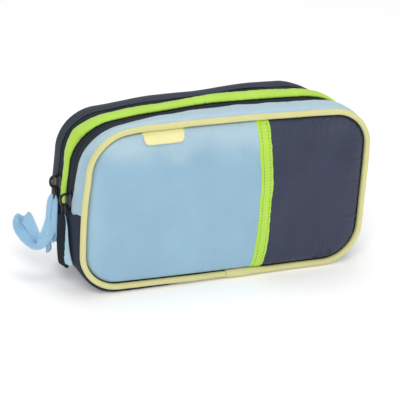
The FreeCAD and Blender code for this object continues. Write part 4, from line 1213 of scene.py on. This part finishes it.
front_panel = show(make_front_panel(), "front", "navy_nylon", *halves("front_panel"))
show(make_front_pocket(), "front", "blue_nylon", *halves("front_pocket"))
show(make_binding(), "front", "lime_nylon", *halves("pocket_binding"))
show(make_stitches(), "front", "lime_nylon")
show(make_label(), "front_flap", "yellow_label", "label_tab")
for side, depth, inward, cover, slot, seed in (("front", FRONT, 1, yellow_cover, "yellow_piping", 31),
                                               ("rear", REAR, -1, navy_cover, "navy_piping", 41)):
    piping = side + "_piping"
    show(piping_loop(piping, depth, inward, cover, seed), side, slot, *halves(piping))
show(make_sleeve(), "root", "yellow_piping", "piping_joint_sleeve")
front_band = show(make_front_band(), "front_flap", "blue_nylon", "front_upper_band")
rear_band = show(make_rear_band(), "rear_flap", "navy_nylon", "rear_upper_band")
centre_band = show(make_centre_band(), "root", "lime_nylon", "centre_band", "centre_band_core")
ZIP_PARTS = [  # side, part, outer edge of the tape, zip line, seed of the tape, side of the coil
    ("front", "flap", F_EDGE - 11.0, F_ZIP, 81, 1), ("front", "frame", B_MIDDLE + 0.4, F_ZIP, 82, -1),
    ("rear", "frame", B_MIDDLE - 0.2, R_ZIP, 83, 1), ("rear", "flap", R_EDGE + 2.0, R_ZIP, 84, -1)]
ZIP_BODIES = {"frame": "root", "flap": "{}_flap"}
for side, part, edge, line, seed, turned in ZIP_PARTS:
    show(zip_tape(f"{side}_{part}_tape", edge, line, seed), ZIP_BODIES[part].format(side), "zip_tape",
         f"{side}_zip_{part}_tape")
gusset = show(make_gusset(), "root", "navy_nylon", "lower_gusset")
rear_panel = show(make_rear_panel(), "rear", "navy_nylon", *halves("rear_panel"))
linings = [show(make_lining(side + "_padding", side + "_lining", seed, outward), side, "lining",
                *halves(side + "_lining")) for side, seed, outward in (("front", 141, -1), ("rear", 151, 1))]
divider = show(make_divider(), "root", "lining", "divider_wall")
show(make_elastic(), "root", "elastic", "elastic_holder")
show(make_mesh_pocket(), "root", "mesh", "mesh_pocket")
show(make_mesh_binding(), "root", "lime_nylon", "mesh_pocket_binding")
for side, part, edge, line, seed, turned in ZIP_PARTS:
    node = f"{side}_zip_{part}_coil"
    show(zip_coil(f"{side}_{part}_coil", node, turned), ZIP_BODIES[part].format(side), "zip_coil", node)
for side in ("front", "rear"):
    body = side + "_slider"
    show(slider(body + "_shell", body + "_body"), body, "slider_metal", body + "_body")
    show(crown(side + "_crown", body + "_crown"), body, "black_wire", body + "_crown")
show(link("front_eye", "front_pull_link", 0.35), "front_pull", "black_wire", "front_pull_link")
show(link("rear_eye", "rear_pull_link", -0.4), "rear_pull", "black_wire", "rear_pull_link")
show(make_front_tab(), "front_pull", "navy_webbing", "front_pull_tab")
show(make_front_leaf(), "front_pull", "blue_webbing", "front_pull_leaf")
show(rear_tab_layer("rear_tab", 2.1, -0.6, 16.5, 5.2, 5.0), "rear_pull", "blue_webbing", "rear_pull_tab")
show(rear_tab_layer("rear_tab_fold", -3.2, 0.5, 6.5, 6.2, 5.5), "rear_pull", "blue_webbing")
show(make_ribbon(), "rear_pull", "blue_webbing", "rear_pull_ribbon")
